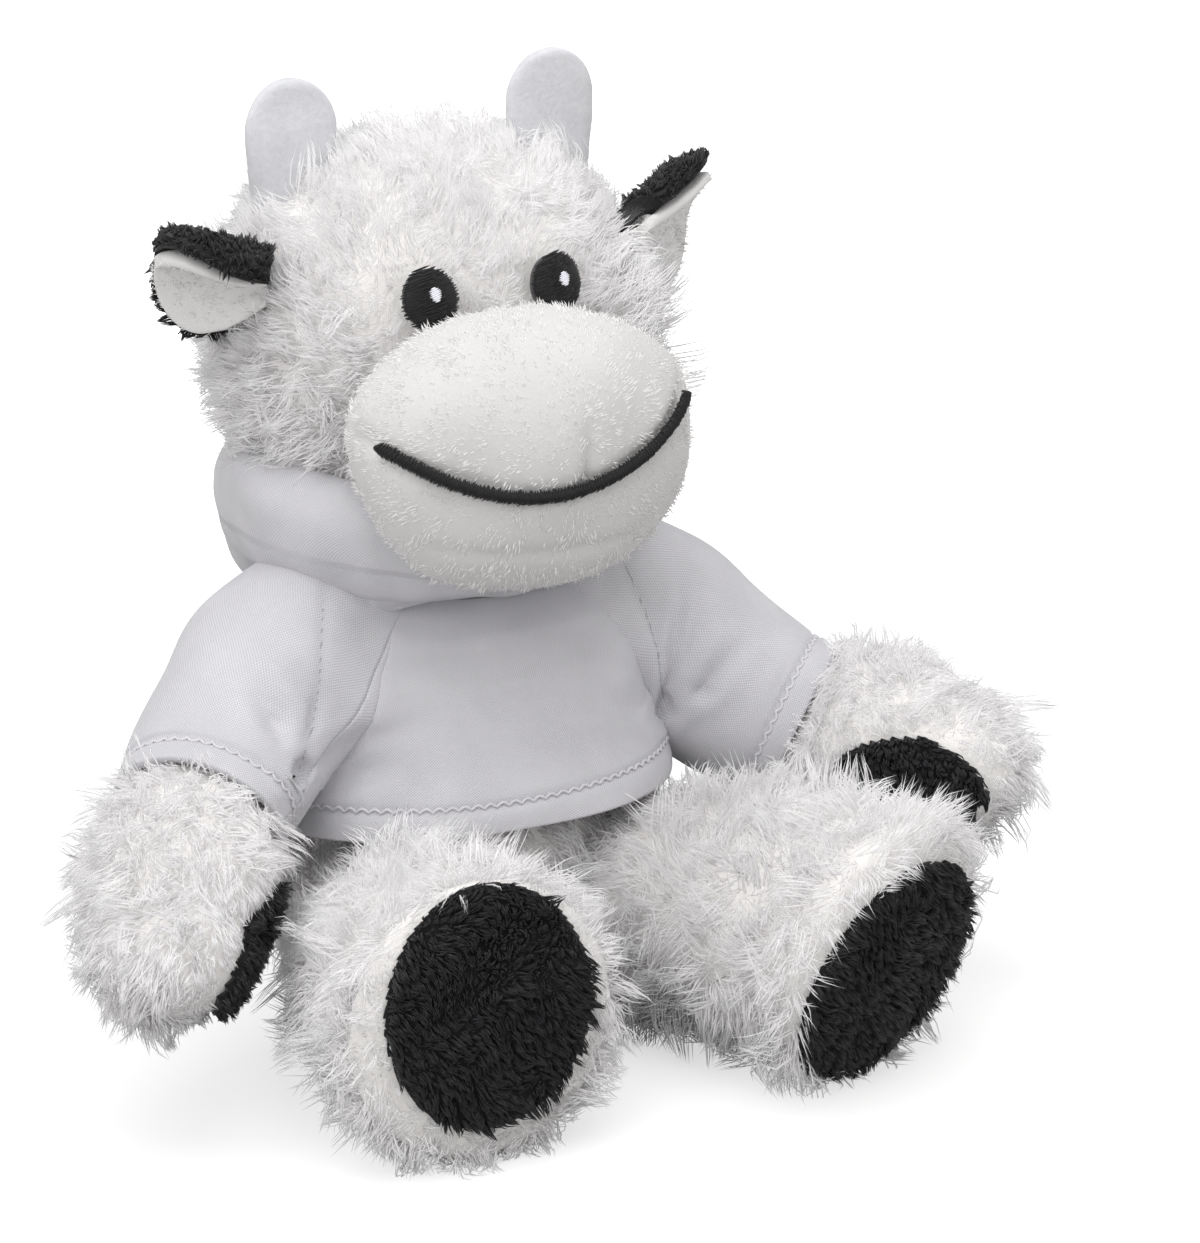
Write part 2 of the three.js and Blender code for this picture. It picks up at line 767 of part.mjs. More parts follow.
function sole(side) {
  const shape = legShape(side);
  const curve = new THREE.CatmullRomCurve3(shape.points, false, "centripetal");
  const ahead = curve.getTangent(1);
  const run = ahead.clone().addScaledVector(frameOf(ahead).up, -tiltAt(shape, 1)).normalize();
  const { across, up } = frameOf(run, THREE.MathUtils.degToRad(shape.roll));
  const start = curve.getPoint(1);
  start.z += side < 0 ? rightSoleLift : leftSoleLift;
  const halfWidth = side < 0 ? rightSoleHalfWidth : leftSoleHalfWidth;
  const halfHeight = side < 0 ? rightSoleHalfHeight : leftSoleHalfHeight;
  const cutter = peg(start, run, across, up, halfWidth, halfHeight, soleBulge + overrun);
  return patch((grow) => limb(shape, grow), soleThickness, cutter).intersect(aboveFloor);
}

// Hoodie
function hoodiePanels() {
  const tube = hoodieOuter.subtract(hoodieForm(knitEase)).subtract(torsoSockets);
  const seam = (shift) => new THREE.Vector3(reach, sideSeamSetBack + shift, reach);
  const corner = new THREE.Vector3(-reach, -reach, -reach);
  return {
    front: tube.intersect(block(corner, seam(-clearance / 2))),
    back: tube.subtract(block(corner, seam(clearance / 2))),
  };
}

// One of the hood's sizes at an angle round the neck: 0 is the front, half a turn is the back.
function hoodSize(sizes, angle) {
  const end = Math.cos(angle) > 0 ? sizes.front : sizes.back;
  return end * Math.cos(angle) ** 2 + sizes.side * Math.sin(angle) ** 2;
}

// The head and the muzzle at each corner of their range.
function headRoom() {
  const whole = headForm(swingClearance).add(muzzleForm(swingClearance));
  const nodding = swept(whole, { at: neck, axis: acrossX }, -headNodDegrees, headNodDegrees);
  return swept(nodding, { at: neck, axis: upZ }, -headTurnDegrees, headTurnDegrees);
}

// The hood: a closed ring round the neck, which hangs deeper behind.
function hood() {
  const sides = 2 * innerSides;
  const rings = Array.from({ length: sides }, (_, i) => {
    const angle = (i / sides) * 2 * Math.PI;
    const out = new THREE.Vector3(Math.sin(angle), -Math.cos(angle), 0);
    const centre = new THREE.Vector3(neck.x, neck.y, hoodSize(hoodHeights, angle));
    centre.addScaledVector(out, hoodSize(hoodRadii, angle));
    const halfThick = hoodSize(hoodHalfThicknesses, angle);
    return ellipse(centre, out, upZ, halfThick, hoodSize(hoodHalfHeights, angle), trimSides);
  });
  const armRoom = [-1, 1].map((side, i) => {
    const grown = (share) => knitOuter + sleeveFlare * share + swingClearance;
    const root = limb(armShape(side), grown, { to: sleeveEndShare, steps: 4 });
    return swept(root, shoulders[i], 0, armRaiseDegrees);
  });
  return fromLoop(rings).subtract(join([headRoom(), torsoRoom, ...armRoom]));
}

// Tail
function tailShape() {
  const start = new THREE.Vector3(0, torsoHalfDepth, tailHeight);
  const points = tailOutShares.map((out, i) =>
    start.clone().add(new THREE.Vector3(0, out * tailLength, tailDropShares[i] * tailLength)),
  );
  return { points, radii: points.map(() => tailRadius), rootDepth: tailRadius, tipDepth: tailRadius };
}

function tailCord() {
  const cord = limb(tailShape(), 0, { sides: trimSides });
  return cleared(cord, torsoRoom, tailHinge, 0, tailSwingDegrees).add(seamBall(tailHinge.at, tailSeamRadius));
}

function tailTuft() {
  const end = tailShape().points.at(-1);
  const points = [0, 0.5, 1].map((share) => end.clone().add(new THREE.Vector3(0, share * tuftLength, 0)));
  const radii = [tailRadius + tailWrap, tuftRadius, tailRadius];
  const tuft = limb({ points, radii, rootDepth: tailRadius, tipDepth: tailRadius }, 0, { sides: trimSides });
  return tuft.subtract(limb(tailShape(), clearance, { sides: trimSides }));
}

// Finishes
function finish(color, roughness) {
  return new THREE.MeshStandardMaterial({ color, roughness, metalness: 0 });
}

const whitePlush = finish("#f1f0ed", 0.95);
const shortPlush = finish("#f5f4f1", 0.9);
const blackPlush = finish("#1a1a1c", 0.92);
const felt = finish("#e6e8ec", 0.95);
const knit = finish("#eceef5", 0.85);
const blackThread = finish("#0d0d10", 0.5);
const whiteThread = finish("#f4f6f8", 0.5);
const fibre = finish("#fbfaf6", 1);
const canvas = finish("#d8d2c4", 0.9);

// A group of pieces that move together, whose own origin is its joint.
function body(parent, at) {
  const group = new THREE.Group();
  group.userData.at = at;
  group.position.copy(at).sub(parent?.userData.at ?? new THREE.Vector3());
  parent?.add(group);
  return group;
}

// One mesh in a body: the form's main solid, without the slivers that a cut leaves.
function place(group, name, form, material) {
  const [main] = form.decompose().sort((a, b) => b.volume() - a.volume());
  const { vertProperties, triVerts } = main.getMesh();
  const geometry = new THREE.BufferGeometry();
  geometry.setAttribute("position", new THREE.BufferAttribute(vertProperties, 3));
  geometry.setIndex(new THREE.BufferAttribute(triVerts, 1));
  geometry.translate(...group.userData.at.clone().negate().toArray());
  geometry.computeVertexNormals();
  const mesh = new THREE.Mesh(geometry, material);
  mesh.name = name;
  group.add(mesh);
}

// The torso and what is sewn or slipped on it
const cow = body(null, new THREE.Vector3());
const lining = torsoForm(-skinWall, innerSides);
const stuffing = torsoForm(-skinWall - clearance, innerSides);
place(cow, "torso_skin", torsoWhole.subtract(lining).subtract(torsoSockets), whitePlush);
place(cow, "torso_stuffing", stuffing.subtract(torsoSockets).subtract(pelletForm(clearance)), fibre);
place(cow, "pellet_bag", pelletForm(0).intersect(level(pelletFloor, reach)), canvas);
const panels = hoodiePanels();
place(cow, "hoodie_front", panels.front, knit);
place(cow, "hoodie_back", panels.back, knit);
place(cow, "hood", hood(), knit);

// The neck, the head and its face
const neckBody = body(cow, neck);
place(neckBody, "neck_stuffing", seamBall(neck, neckRadius), fibre);
const head = body(neckBody, neck);
const headShell = headForm(0).subtract(headForm(-skinWall, innerSides)).subtract(headSockets);
place(head, "head_skin", headShell, whitePlush);
place(head, "head_stuffing", headForm(-skinWall - clearance, innerSides).subtract(headSockets), fibre);
const headSeat = headForm(clearance);
const snout = muzzleForm(0).subtract(muzzleForm(-muzzleWall, innerSides)).subtract(headSeat);
place(head, "muzzle_panel", snout.intersect(overSmile(clearance / 2)), shortPlush);
place(head, "chin_panel", snout.subtract(overSmile(-clearance / 2)), shortPlush);
place(head, "muzzle_stuffing", muzzleForm(-muzzleWall - clearance, innerSides).subtract(headSeat), fibre);
place(head, "smile_stitch", smileStitch(), blackThread);

for (const side of [-1, 1]) {
  const hand = side < 0 ? "right" : "left";
  const eye = patch(headForm, eyeThickness, eyePeg(side, eyeHalfWidth, eyeHalfHeight));
  place(head, `${hand}_eye`, eye.subtract(muzzleForm(clearance)), blackThread);
  const raised = (grow) => headForm(grow + clearance + eyeThickness);
  const glint = patch(raised, glintThickness, eyePeg(side, glintHalfSize, glintHalfSize));
  place(head, `${hand}_eye_glint`, glint, whiteThread);
  place(body(head, hornHinge(side).at), `${hand}_horn`, horn(side), felt);

  const ear = body(head, earHinge(side).at);
  place(ear, `${hand}_ear_back`, earBackPiece(side), blackPlush);
  place(ear, `${hand}_ear_lining`, earLiningPiece(side), shortPlush);

  const arm = body(cow, shoulders[side < 0 ? 0 : 1].at);
  place(arm, `${hand}_arm_skin`, armSkin(side), whitePlush);
  place(arm, `${hand}_arm_stuffing`, armStuffing(side), fibre);
  place(arm, `${hand}_hand_pad`, handPad(side), blackPlush);
  place(arm, `${hand}_sleeve`, sleeve(side), knit);

  const leg = body(cow, hips[side < 0 ? 0 : 1].at);
  place(leg, `${hand}_leg_skin`, legSkin(side), whitePlush);
  place(leg, `${hand}_leg_stuffing`, legStuffing(side), fibre);
  place(leg, `${hand}_sole`, sole(side), blackPlush);
}

// The tail
const tail = body(cow, tailHinge.at);
place(tail, "tail_cord", tailCord(), whitePlush);
place(tail, "tail_tuft", tailTuft(), blackPlush);

export default cow;
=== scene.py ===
# %% [markdown]
# # Plush cow in a knitted hoodie
# A sitting toy, about 154 mm tall, sewn from long white plush, short plush, black plush,
# felt and a fine cool-white knit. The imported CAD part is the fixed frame. Each soft piece is
# modelled here as a numpy surface of the same form, and the pile is modelled as tapered fibres.

# %% Frame
import math

import bpy
import numpy as np
from mathutils import Matrix, Vector


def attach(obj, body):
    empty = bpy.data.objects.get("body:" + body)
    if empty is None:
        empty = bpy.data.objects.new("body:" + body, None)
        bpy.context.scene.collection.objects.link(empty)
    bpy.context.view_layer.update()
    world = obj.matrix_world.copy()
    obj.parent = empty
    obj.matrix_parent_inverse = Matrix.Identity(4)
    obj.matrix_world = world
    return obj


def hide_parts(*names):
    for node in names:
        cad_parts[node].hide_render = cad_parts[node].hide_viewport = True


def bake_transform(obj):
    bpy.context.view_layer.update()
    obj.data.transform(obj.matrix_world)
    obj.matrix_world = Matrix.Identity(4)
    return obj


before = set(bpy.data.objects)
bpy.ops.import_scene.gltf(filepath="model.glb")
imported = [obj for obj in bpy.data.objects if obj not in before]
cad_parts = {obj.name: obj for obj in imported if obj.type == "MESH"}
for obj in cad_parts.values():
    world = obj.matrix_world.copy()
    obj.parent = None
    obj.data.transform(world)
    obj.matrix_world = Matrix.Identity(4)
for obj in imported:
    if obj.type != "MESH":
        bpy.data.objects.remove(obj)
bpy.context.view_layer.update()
MM = 0.001

# %% [markdown]
# ## Small helpers
# Lengths are millimetres until a mesh is made. A surface is rings of points, so a ball, a limb
# and a tube of cloth share one mesh builder. The last helper makes smooth random waves.

# %% Helpers
def unit(v):
    """v / |v| along the last axis."""
    return v / np.maximum(np.linalg.norm(v, axis=-1, keepdims=True), 1e-9)


def ease(x):
    """3x^2 - 2x^3 on 0 to 1."""
    x = np.clip(x, 0, 1)
    return x * x * (3 - 2 * x)


def vec(*values):
    """Numbers or rows of numbers as an array."""
    return np.array(values, float)


def circle(count):
    """Angles spread evenly round a circle."""
    return np.linspace(0, 2 * np.pi, count, endpoint=False)


def path(points, t):
    """Centripetal Catmull-Rom through the points at t from 0 to 1; knots are sqrt(distance) apart."""
    points = np.asarray(points, float)
    ends = [2 * points[0] - points[1]], [2 * points[-1] - points[-2]]
    p = np.concatenate([ends[0], points, ends[1]])
    t = np.clip(np.atleast_1d(t), 0, 1) * (len(points) - 1)
    i = np.minimum(t.astype(int), len(points) - 2)
    w = (t - i)[:, None]
    p0, p1, p2, p3 = (p[i + k] for k in range(4))
    gap = [np.sqrt(np.linalg.norm(b - a, axis=1))[:, None] for a, b in ((p0, p1), (p1, p2), (p2, p3))]
    m1 = gap[1] * ((p1 - p0) / gap[0] - (p2 - p0) / (gap[0] + gap[1]) + (p2 - p1) / gap[1])
    m2 = gap[1] * ((p2 - p1) / gap[1] - (p3 - p1) / (gap[1] + gap[2]) + (p3 - p2) / gap[2])
    return p1 + m1 * w + (3 * (p2 - p1) - 2 * m1 - m2) * w**2 + (2 * (p1 - p2) + m1 + m2) * w**3


def along(values, t):
    """A smooth run of numbers at t from 0 to 1: cubic through evenly spaced values."""
    v = np.asarray(values, float)
    t = np.clip(np.asarray(t, float), 0, 1) * (len(v) - 1)
    i = np.minimum(t.astype(int), len(v) - 2)
    w = t - i
    a, b, c, d = v[np.maximum(i - 1, 0)], v[i], v[i + 1], v[np.minimum(i + 2, len(v) - 1)]
    return b + (c - a) / 2 * w + (2 * a - 5 * b + 4 * c - d) / 2 * w**2 + (3 * b - a - 3 * c + d) / 2 * w**3


def lengths(points):
    """The length of a line up to each of its points."""
    return np.concatenate([[0], np.cumsum(np.linalg.norm(np.diff(points, axis=0), axis=1))])


def hex_colour(text):
    """sRGB hex to linear: c/12.92 below 0.04045, else ((c+0.055)/1.055)^2.4."""
    c = np.array([int(text[i:i + 2], 16) / 255 for i in (1, 3, 5)])
    lin = np.where(c <= 0.04045, c / 12.92, ((c + 0.055) / 1.055) ** 2.4)
    return (*lin.tolist(), 1.0)


def mesh(name, verts, faces, uv=None):
    """An object from points in mm and a list of face arrays; uv is one (u, v) in mm per point."""
    data = bpy.data.meshes.new(name)
    data.from_pydata((np.asarray(verts) * MM).tolist(), [], [row for f in faces for row in f.tolist()])
    data.polygons.foreach_set("use_smooth", np.ones(len(data.polygons), bool))
    if uv is not None:
        loops = np.zeros(len(data.loops), int)
        data.loops.foreach_get("vertex_index", loops)
        layer = data.uv_layers.new(name="cloth")
        layer.data.foreach_set("uv", np.asarray(uv)[loops].ravel())
    data.update()
    obj = bpy.data.objects.new(name, data)
    bpy.context.scene.collection.objects.link(obj)
    return obj


def ring_faces(rows, cols, closed=False):
    """Quads between rings that close round, low row first. closed joins the last ring to the first."""
    r, c = np.meshgrid(np.arange(rows - 1 + closed), np.arange(cols), indexing="ij")
    low, high, after = r * cols, (r + 1) % rows * cols, (c + 1) % cols
    return np.stack([low + c, low + after, high + after, high + c], -1).reshape(-1, 4)


def ringed(centre, across, up, wide, tall, angle):
    """A ring of points for each centre: centre + across wide cos(angle) + up tall sin(angle)."""
    wide, tall = np.asarray(wide)[..., None] * np.cos(angle), np.asarray(tall)[..., None] * np.sin(angle)
    return centre[..., None, :] + wide[..., None] * across[..., None, :] + tall[..., None] * up[..., None, :]


def capped(rings, first, last):
    """Points and faces of rings (rows, cols, 3) closed by a fan at each end."""
    rows, cols = rings.shape[:2]
    verts = np.concatenate([rings.reshape(-1, 3), [first], [last]])
    i = np.arange(cols)
    low = np.stack([np.full(cols, rows * cols), (i + 1) % cols, i], -1)
    top = (rows - 1) * cols
    high = np.stack([np.full(cols, rows * cols + 1), top + i, top + (i + 1) % cols], -1)
    return verts, [ring_faces(rows, cols), low, high]


def triangles(faces):
    """The faces as triangles: each quad is cut from its first corner."""
    parts = []
    for f in faces:
        parts += [f] if f.shape[1] == 3 else [f[:, [0, 1, 2]], f[:, [0, 2, 3]]]
    return np.concatenate(parts)


def normals(verts, faces):
    """Unit normals at the points: the sum of the areas' normals round each."""
    tris = triangles(faces)
    a, b, c = (verts[tris[:, k]] for k in range(3))
    n = np.cross(b - a, c - a)
    out = np.zeros_like(verts)
    for k in range(3):
        np.add.at(out, tris[:, k], n)
    return unit(out)


def outward(verts, faces):
    """The faces, turned over when the volume that they enclose is negative."""
    tris = triangles(faces)
    a, b, c = (verts[tris[:, k]] for k in range(3))
    if np.einsum("ij,ij->i", a, np.cross(b, c)).sum() < 0:
        return [f[:, ::-1] for f in faces]
    return faces


def ripple(points, size, seed):
    """A smooth random vector at each point: sums of sines about `size` mm long."""
    rng = np.random.default_rng(seed)
    wave = unit(rng.normal(size=(7, 3))) * 2 * np.pi / size * rng.uniform(0.6, 1.6, (7, 1))
    phase = rng.uniform(0, 2 * np.pi, (3, 7))
    return np.stack([np.sin(points @ wave.T + p).sum(1) for p in phase], -1) / 2.6


print("helpers ready")

# %% [markdown]
# ## Pile
# Long plush is thousands of fibres that stand on a knitted backing, lean over together and
# gather into wisps. Each fibre is a closed three-sided spike: it leaves the skin, bends towards
# the lay, curls a little and is pulled to the tip of its wisp.

# %% Pile
FLOOR_GAP = 0.4


def roots(verts, faces, count, keep, rng):
    """`count` points spread by area over the triangles that keep(points) marks, with normals."""
    tris = triangles(faces)
    a, b, c = (verts[tris[:, k]] for k in range(3))
    area = np.linalg.norm(np.cross(b - a, c - a), axis=1) * keep((a + b + c) / 3)
    total = np.cumsum(area)
    pick = np.searchsorted(total, (np.arange(count) + rng.random(count)) / count * total[-1])
    pick = np.minimum(pick, len(tris) - 1)
    u, v = rng.random(count), rng.random(count)
    flip = u + v > 1
    u, v = np.where(flip, 1 - u, u)[:, None], np.where(flip, 1 - v, v)[:, None]
    n = normals(verts, faces)
    at = a[pick] * (1 - u - v) + b[pick] * u + c[pick] * v
    up = n[tris[pick, 0]] * (1 - u - v) + n[tris[pick, 1]] * u + n[tris[pick, 2]] * v
    return at, unit(up)


def wisps(at, rng, each):
    """For each root, the index of the nearest of count/each chosen roots."""
    centres = rng.choice(len(at), max(1, len(at) // each), replace=False)
    parts = np.array_split(np.arange(len(at)), max(1, len(at) * len(centres) // 4_000_000 + 1))
    near = [((at[p, None] - at[None, centres]) ** 2).sum(-1).argmin(1) for p in parts]
    return centres[np.concatenate(near)]


def spikes(name, spine, up, thick, steps, tone, parts):
    """A closed three-sided spike along each spine. The colour "fibre" holds how far up the fibre a
    point is, and the fibre's tone."""
    count, rings = thick.shape
    tangent = unit(np.gradient(spine, axis=1))
    across = unit(np.cross(tangent, up[:, None]) + 1e-5)
    ring = ringed(spine[:, :-1], across[:, :-1], np.cross(across, tangent)[:, :-1], thick, thick,
                  np.array([4, 2, 0]) * np.pi / 3 + np.pi / 2)
    last = 3 * rings
    verts = np.concatenate([ring.reshape(count, last, 3), spine[:, -1:]], 1)
    ends = np.array([[last - 3 + k, last - 3 + (k + 1) % 3, last] for k in range(3)] + [[2, 1, 0]])
    data = np.ones((count, last + 1, 4), np.float32)
    data[..., 0], data[..., 1] = np.append(np.repeat(steps[:-1], 3), 1), tone[:, None]
    made = []
    for part, rows in enumerate(np.array_split(np.arange(count), parts)):
        base = (np.arange(len(rows)) * (last + 1))[:, None, None]
        faces = [(base + ring_faces(rings, 3)).reshape(-1, 4), (base + ends).reshape(-1, 3)]
        obj = mesh(name if parts == 1 else f"{name}_{part + 1}", verts[rows].reshape(-1, 3), faces)
        obj.data.attributes.new("fibre", "FLOAT_COLOR", "POINT").data.foreach_set("color", data[rows].ravel())
        made.append(obj)
    print(name, count, "fibres of", 6 * rings - 2, "triangles")
    return made


def pile(name, surface, count, length, radius, lay, keep, seed, each=20, lean=(0.5, 1.2), pull=0.75,
         curl=0.6, swirl=0.6, rings=3, parts=1, trim=None):
    """Fibres: step along n cos(a) + l sin(a) while a goes from lean[0] to lean[1] radians, curl about
    that line and are drawn to their wisp's middle fibre. trim gives each root's share of the length."""
    rng = np.random.default_rng(seed)
    count = count
    radius = radius
    at, up = roots(*surface, count, keep, rng)
    group = wisps(at, rng, each)
    # Which way each fibre leans: the lay with two sizes of swirl, then its wisp's turn and its own.
    way = lay(at) + swirl * ripple(at, 16, seed) + swirl * 0.7 * ripple(at, 6, seed + 1)
    way = unit(way - up * (way * up).sum(-1, keepdims=True)) + rng.normal(0, 0.3, way.shape)[group]
    way = unit(way + rng.normal(0, 0.2, way.shape))
    # How long each fibre is, and how much steeper its wisp and it stand.
    size = length * rng.uniform(0.72, 1.12, count) * (1 + 0.16 * ripple(at, 9, seed + 2)[:, 0])
    size = size * (trim(at) if trim else 1)
    tall = rng.uniform(-0.3, 0.3, count)[group] + rng.uniform(-0.12, 0.12, count)
    steps = np.linspace(0, 1, rings + 1) ** 0.9
    spine = [at - up * 0.3]
    for low, high in zip(steps[:-1], steps[1:]):
        angle = lean[0] + (lean[1] - lean[0]) * (low + high) / 2 + tall
        step = up * np.cos(angle)[:, None] + way * np.sin(angle)[:, None]
        spine.append(spine[-1] + step * (size * (high - low))[:, None])
    spine = np.stack(spine, 1)
    side = unit(np.cross(up, way))
    # A corkscrew that widens towards the tip, then the pull to the wisp's middle fibre.
    turn = rng.uniform(0, 2 * np.pi, count)[group][:, None]
    turn = turn + steps * rng.uniform(3, 6.5, count)[group][:, None]
    spine += (curl * size / length)[:, None, None] * steps[None, :, None] * (
        np.sin(turn)[..., None] * side[:, None] + 0.6 * np.cos(turn)[..., None] * up[:, None])
    share = (pull * rng.uniform(0.6, 1.15, count))[:, None, None] * steps[None, :, None] ** 1.4
    spine += np.clip(share, 0, 0.94) * (spine[group] - spine)
    spine[..., 2] = np.maximum(spine[..., 2], FLOOR_GAP + radius)
    thick = radius * rng.uniform(0.75, 1.25, count)[:, None] * (1 - 0.45 * steps[:-1] ** 2)
    tone = np.clip(0.5 + 0.22 * rng.normal(size=count) + 0.18 * rng.normal(size=count)[group], 0, 1)
    return spikes(name, spine, up, thick, steps, tone, parts)


def one_way(*direction):
    """A lay that is the same everywhere."""
    return lambda points: 0 * points + vec(*direction)


def everywhere(points):
    """Pile on the whole surface."""
    return np.ones(len(points))


def coat(name, surface, count, length, lay, keep, seed, parts=1, trim=None, swirl=0.9):
    """White plush: a fine undercoat, and a third as many longer fibres gathered into curled wisps."""
    under = pile(f"{name}_under", surface, count, length * 0.8, 0.135, lay, keep, seed, each=12,
                 lean=(0.75, 1.35), pull=0.4, curl=0.35, swirl=swirl, rings=2, parts=parts, trim=trim)
    return under + pile(f"{name}_wisps", surface, count // 3, length * 1.05, 0.125, lay, keep, seed + 7,
                        each=13, lean=(0.55, 1.4), pull=0.8, curl=0.9, swirl=swirl + 0.3, trim=trim)

# %% [markdown]
# ## Materials
# Plush is soft white polyester: light scatters between the fibres, so it gets some
# translucency and a sheen. The knit is a mesh of diamonds about 0.5 mm apart.

# %% Materials
def add(tree, kind, inputs=(), **values):
    """One node: properties and input values by name, and inputs as {input: value or output socket}."""
    made = tree.nodes.new(kind)
    for key, value in values.items():
        if hasattr(made, key) and key not in made.inputs:
            setattr(made, key, value)
        else:
            made.inputs[key.replace("_", " ")].default_value = value
    for key, value in dict(inputs).items():
        if isinstance(value, bpy.types.NodeSocket):
            tree.links.new(value, made.inputs[key])
        else:
            made.inputs[key].default_value = value
    return made


def maths(tree, operation, *inputs):
    """One step of arithmetic on numbers or sockets."""
    return add(tree, "ShaderNodeMath", dict(enumerate(inputs)), operation=operation).outputs[0]


def mixed(tree, factor, low, high):
    """A colour between two, each a hex text or a node's output."""
    low, high = (hex_colour(c) if isinstance(c, str) else c for c in (low, high))
    return add(tree, "ShaderNodeMix", {0: factor, 6: low, 7: high}, data_type="RGBA").outputs[2]


def start(name, viewed, rough, sheen, specular):
    """A material with one principled shader, and its colour in the viewport."""
    made = bpy.data.materials.new(name)
    made.use_nodes = True
    made.diffuse_color = hex_colour(viewed)
    shader = made.node_tree.nodes["Principled BSDF"]
    shader.inputs["Roughness"].default_value = rough
    shader.inputs["Sheen Weight"].default_value = sheen
    shader.inputs["Specular IOR Level"].default_value = specular
    return made, made.node_tree, shader


def bumped(tree, shader, colour, height, strength, depth):
    """Links a colour to the shader and bumps it by a height of depth mm."""
    tree.links.new(colour, shader.inputs["Base Color"])
    bump = add(tree, "ShaderNodeBump", {"Height": height}, Strength=strength, Distance=depth * MM)
    tree.links.new(bump.outputs[0], shader.inputs["Normal"])


def plush_pile(name, root, tip, dark, rough=0.6, sheen=0.35, through=0.92, glow=0.4):
    """Colour runs from root to tip by the fibre's grade; the darker root colour is painted shade deep in the
    pile. It is darker where its tone is low. Thin polyester
    is translucent: `glow` of its light comes from behind, and lamps reach `through` each of its sides."""
    made, tree, shader = start(name, tip, rough, sheen, 0.3)
    data = add(tree, "ShaderNodeVertexColor", layer_name="fibre")
    split = add(tree, "ShaderNodeSeparateColor", {"Color": data.outputs["Color"]}).outputs
    # The root end of the grade is painted shade deep in the pile; the tone varies at random by fibre and
    # wisp.
    colour = mixed(tree, split["Green"], dark, mixed(tree, split["Red"], root, tip))
    tree.links.new(colour, shader.inputs["Base Color"])
    if glow:
        behind = add(tree, "ShaderNodeBsdfTranslucent", {"Color": colour})
        soft = add(tree, "ShaderNodeMixShader", {0: glow, 1: shader.outputs[0], 2: behind.outputs[0]})
        seen = add(tree, "ShaderNodeLightPath").outputs["Is Shadow Ray"]
        thin = add(tree, "ShaderNodeBsdfTransparent", Color=(through, through, through, 1))
        both = add(tree, "ShaderNodeMixShader", {0: seen, 1: soft.outputs[0], 2: thin.outputs[0]})
        tree.links.new(both.outputs[0], tree.nodes["Material Output"].inputs["Surface"])
    return made


def soft_cloth(name, low, high, grain, depth, rough=0.9, sheen=0.2):
    """Mottled cloth: two sizes of noise in Object coordinates, in mm, tint it and roughen it."""
    made, tree, shader = start(name, high, rough, sheen, 0.2)
    place = {"Vector": add(tree, "ShaderNodeTexCoord").outputs["Object"]}
    fine = add(tree, "ShaderNodeTexNoise", place, Scale=1 / (grain * MM), Detail=4.0, Roughness=0.7)
    broad = add(tree, "ShaderNodeTexNoise", place, Scale=1 / (grain * 9 * MM), Detail=3.0)
    half = maths(tree, "MULTIPLY", maths(tree, "ADD", fine.outputs["Fac"], broad.outputs["Fac"]), 0.5)
    bumped(tree, shader, mixed(tree, half, low, high), fine.outputs["Fac"], 0.6, depth)
    return made


def knit_cloth(name, low, high, wale=0.51, course=0.51):
    """Bird's-eye knit: diamonds cos(2 pi u / wale) cos(2 pi v / course) in the cloth's own mm, painted darker
    in their hollows as shade. The attribute "seam" is 100 plus the distance from the raglan seam, and the
    cloth dips there and is painted darker as shade."""
    made, tree, shader = start(name, high, 0.75, 0.25, 0.25)
    cloth = add(tree, "ShaderNodeUVMap", uv_map="cloth")
    split = add(tree, "ShaderNodeSeparateXYZ", {0: cloth.outputs[0]}).outputs
    across = maths(tree, "COSINE", maths(tree, "MULTIPLY", split["X"], 2 * math.pi / wale))
    down = maths(tree, "COSINE", maths(tree, "MULTIPLY", split["Y"], 2 * math.pi / course))
    loop = maths(tree, "MULTIPLY_ADD", maths(tree, "MULTIPLY", across, down), 0.5, 0.5)
    line = add(tree, "ShaderNodeAttribute", attribute_name="seam").outputs["Fac"]
    near = maths(tree, "MULTIPLY", maths(tree, "ABSOLUTE", maths(tree, "SUBTRACT", line, 100.0)), 4.0)
    seam = maths(tree, "SUBTRACT", 1.0, maths(tree, "MINIMUM", near, 1.0))
    height = maths(tree, "MULTIPLY_ADD", seam, -1.5, loop)
    place = {"Vector": add(tree, "ShaderNodeTexCoord").outputs["Object"]}
    cloud = add(tree, "ShaderNodeTexNoise", place, Scale=90.0, Detail=4.0)
    # Colour follows the height: painted shade in the diamonds' hollows and along the seam, plus a random
    # cloudy tone.
    shade_and_tone = maths(tree, "MULTIPLY_ADD", height, 0.6, maths(tree, "MULTIPLY", cloud.outputs["Fac"], 0.4))
    bumped(tree, shader, mixed(tree, shade_and_tone, low, high), height, 0.5, 0.1)
    return made


# Each pile's root colour is darker than its tip: painted shade deep in the pile.
WHITE_PILE = plush_pile("white polyester long pile", "#f8f7f7", "#fefefe", "#f5f4f5", glow=0.5)
# The backing is painted darker than the white pile, as shade in the gaps between the fibres.
PAINTED_SHADE_BACKING = soft_cloth("white plush backing", "#dbd9d6", "#e8e6e4", 1.2, 0.5)
SHORT_PILE = plush_pile("white short pile", "#f1f0ef", "#faf9f8", "#eeedec", glow=0.15)
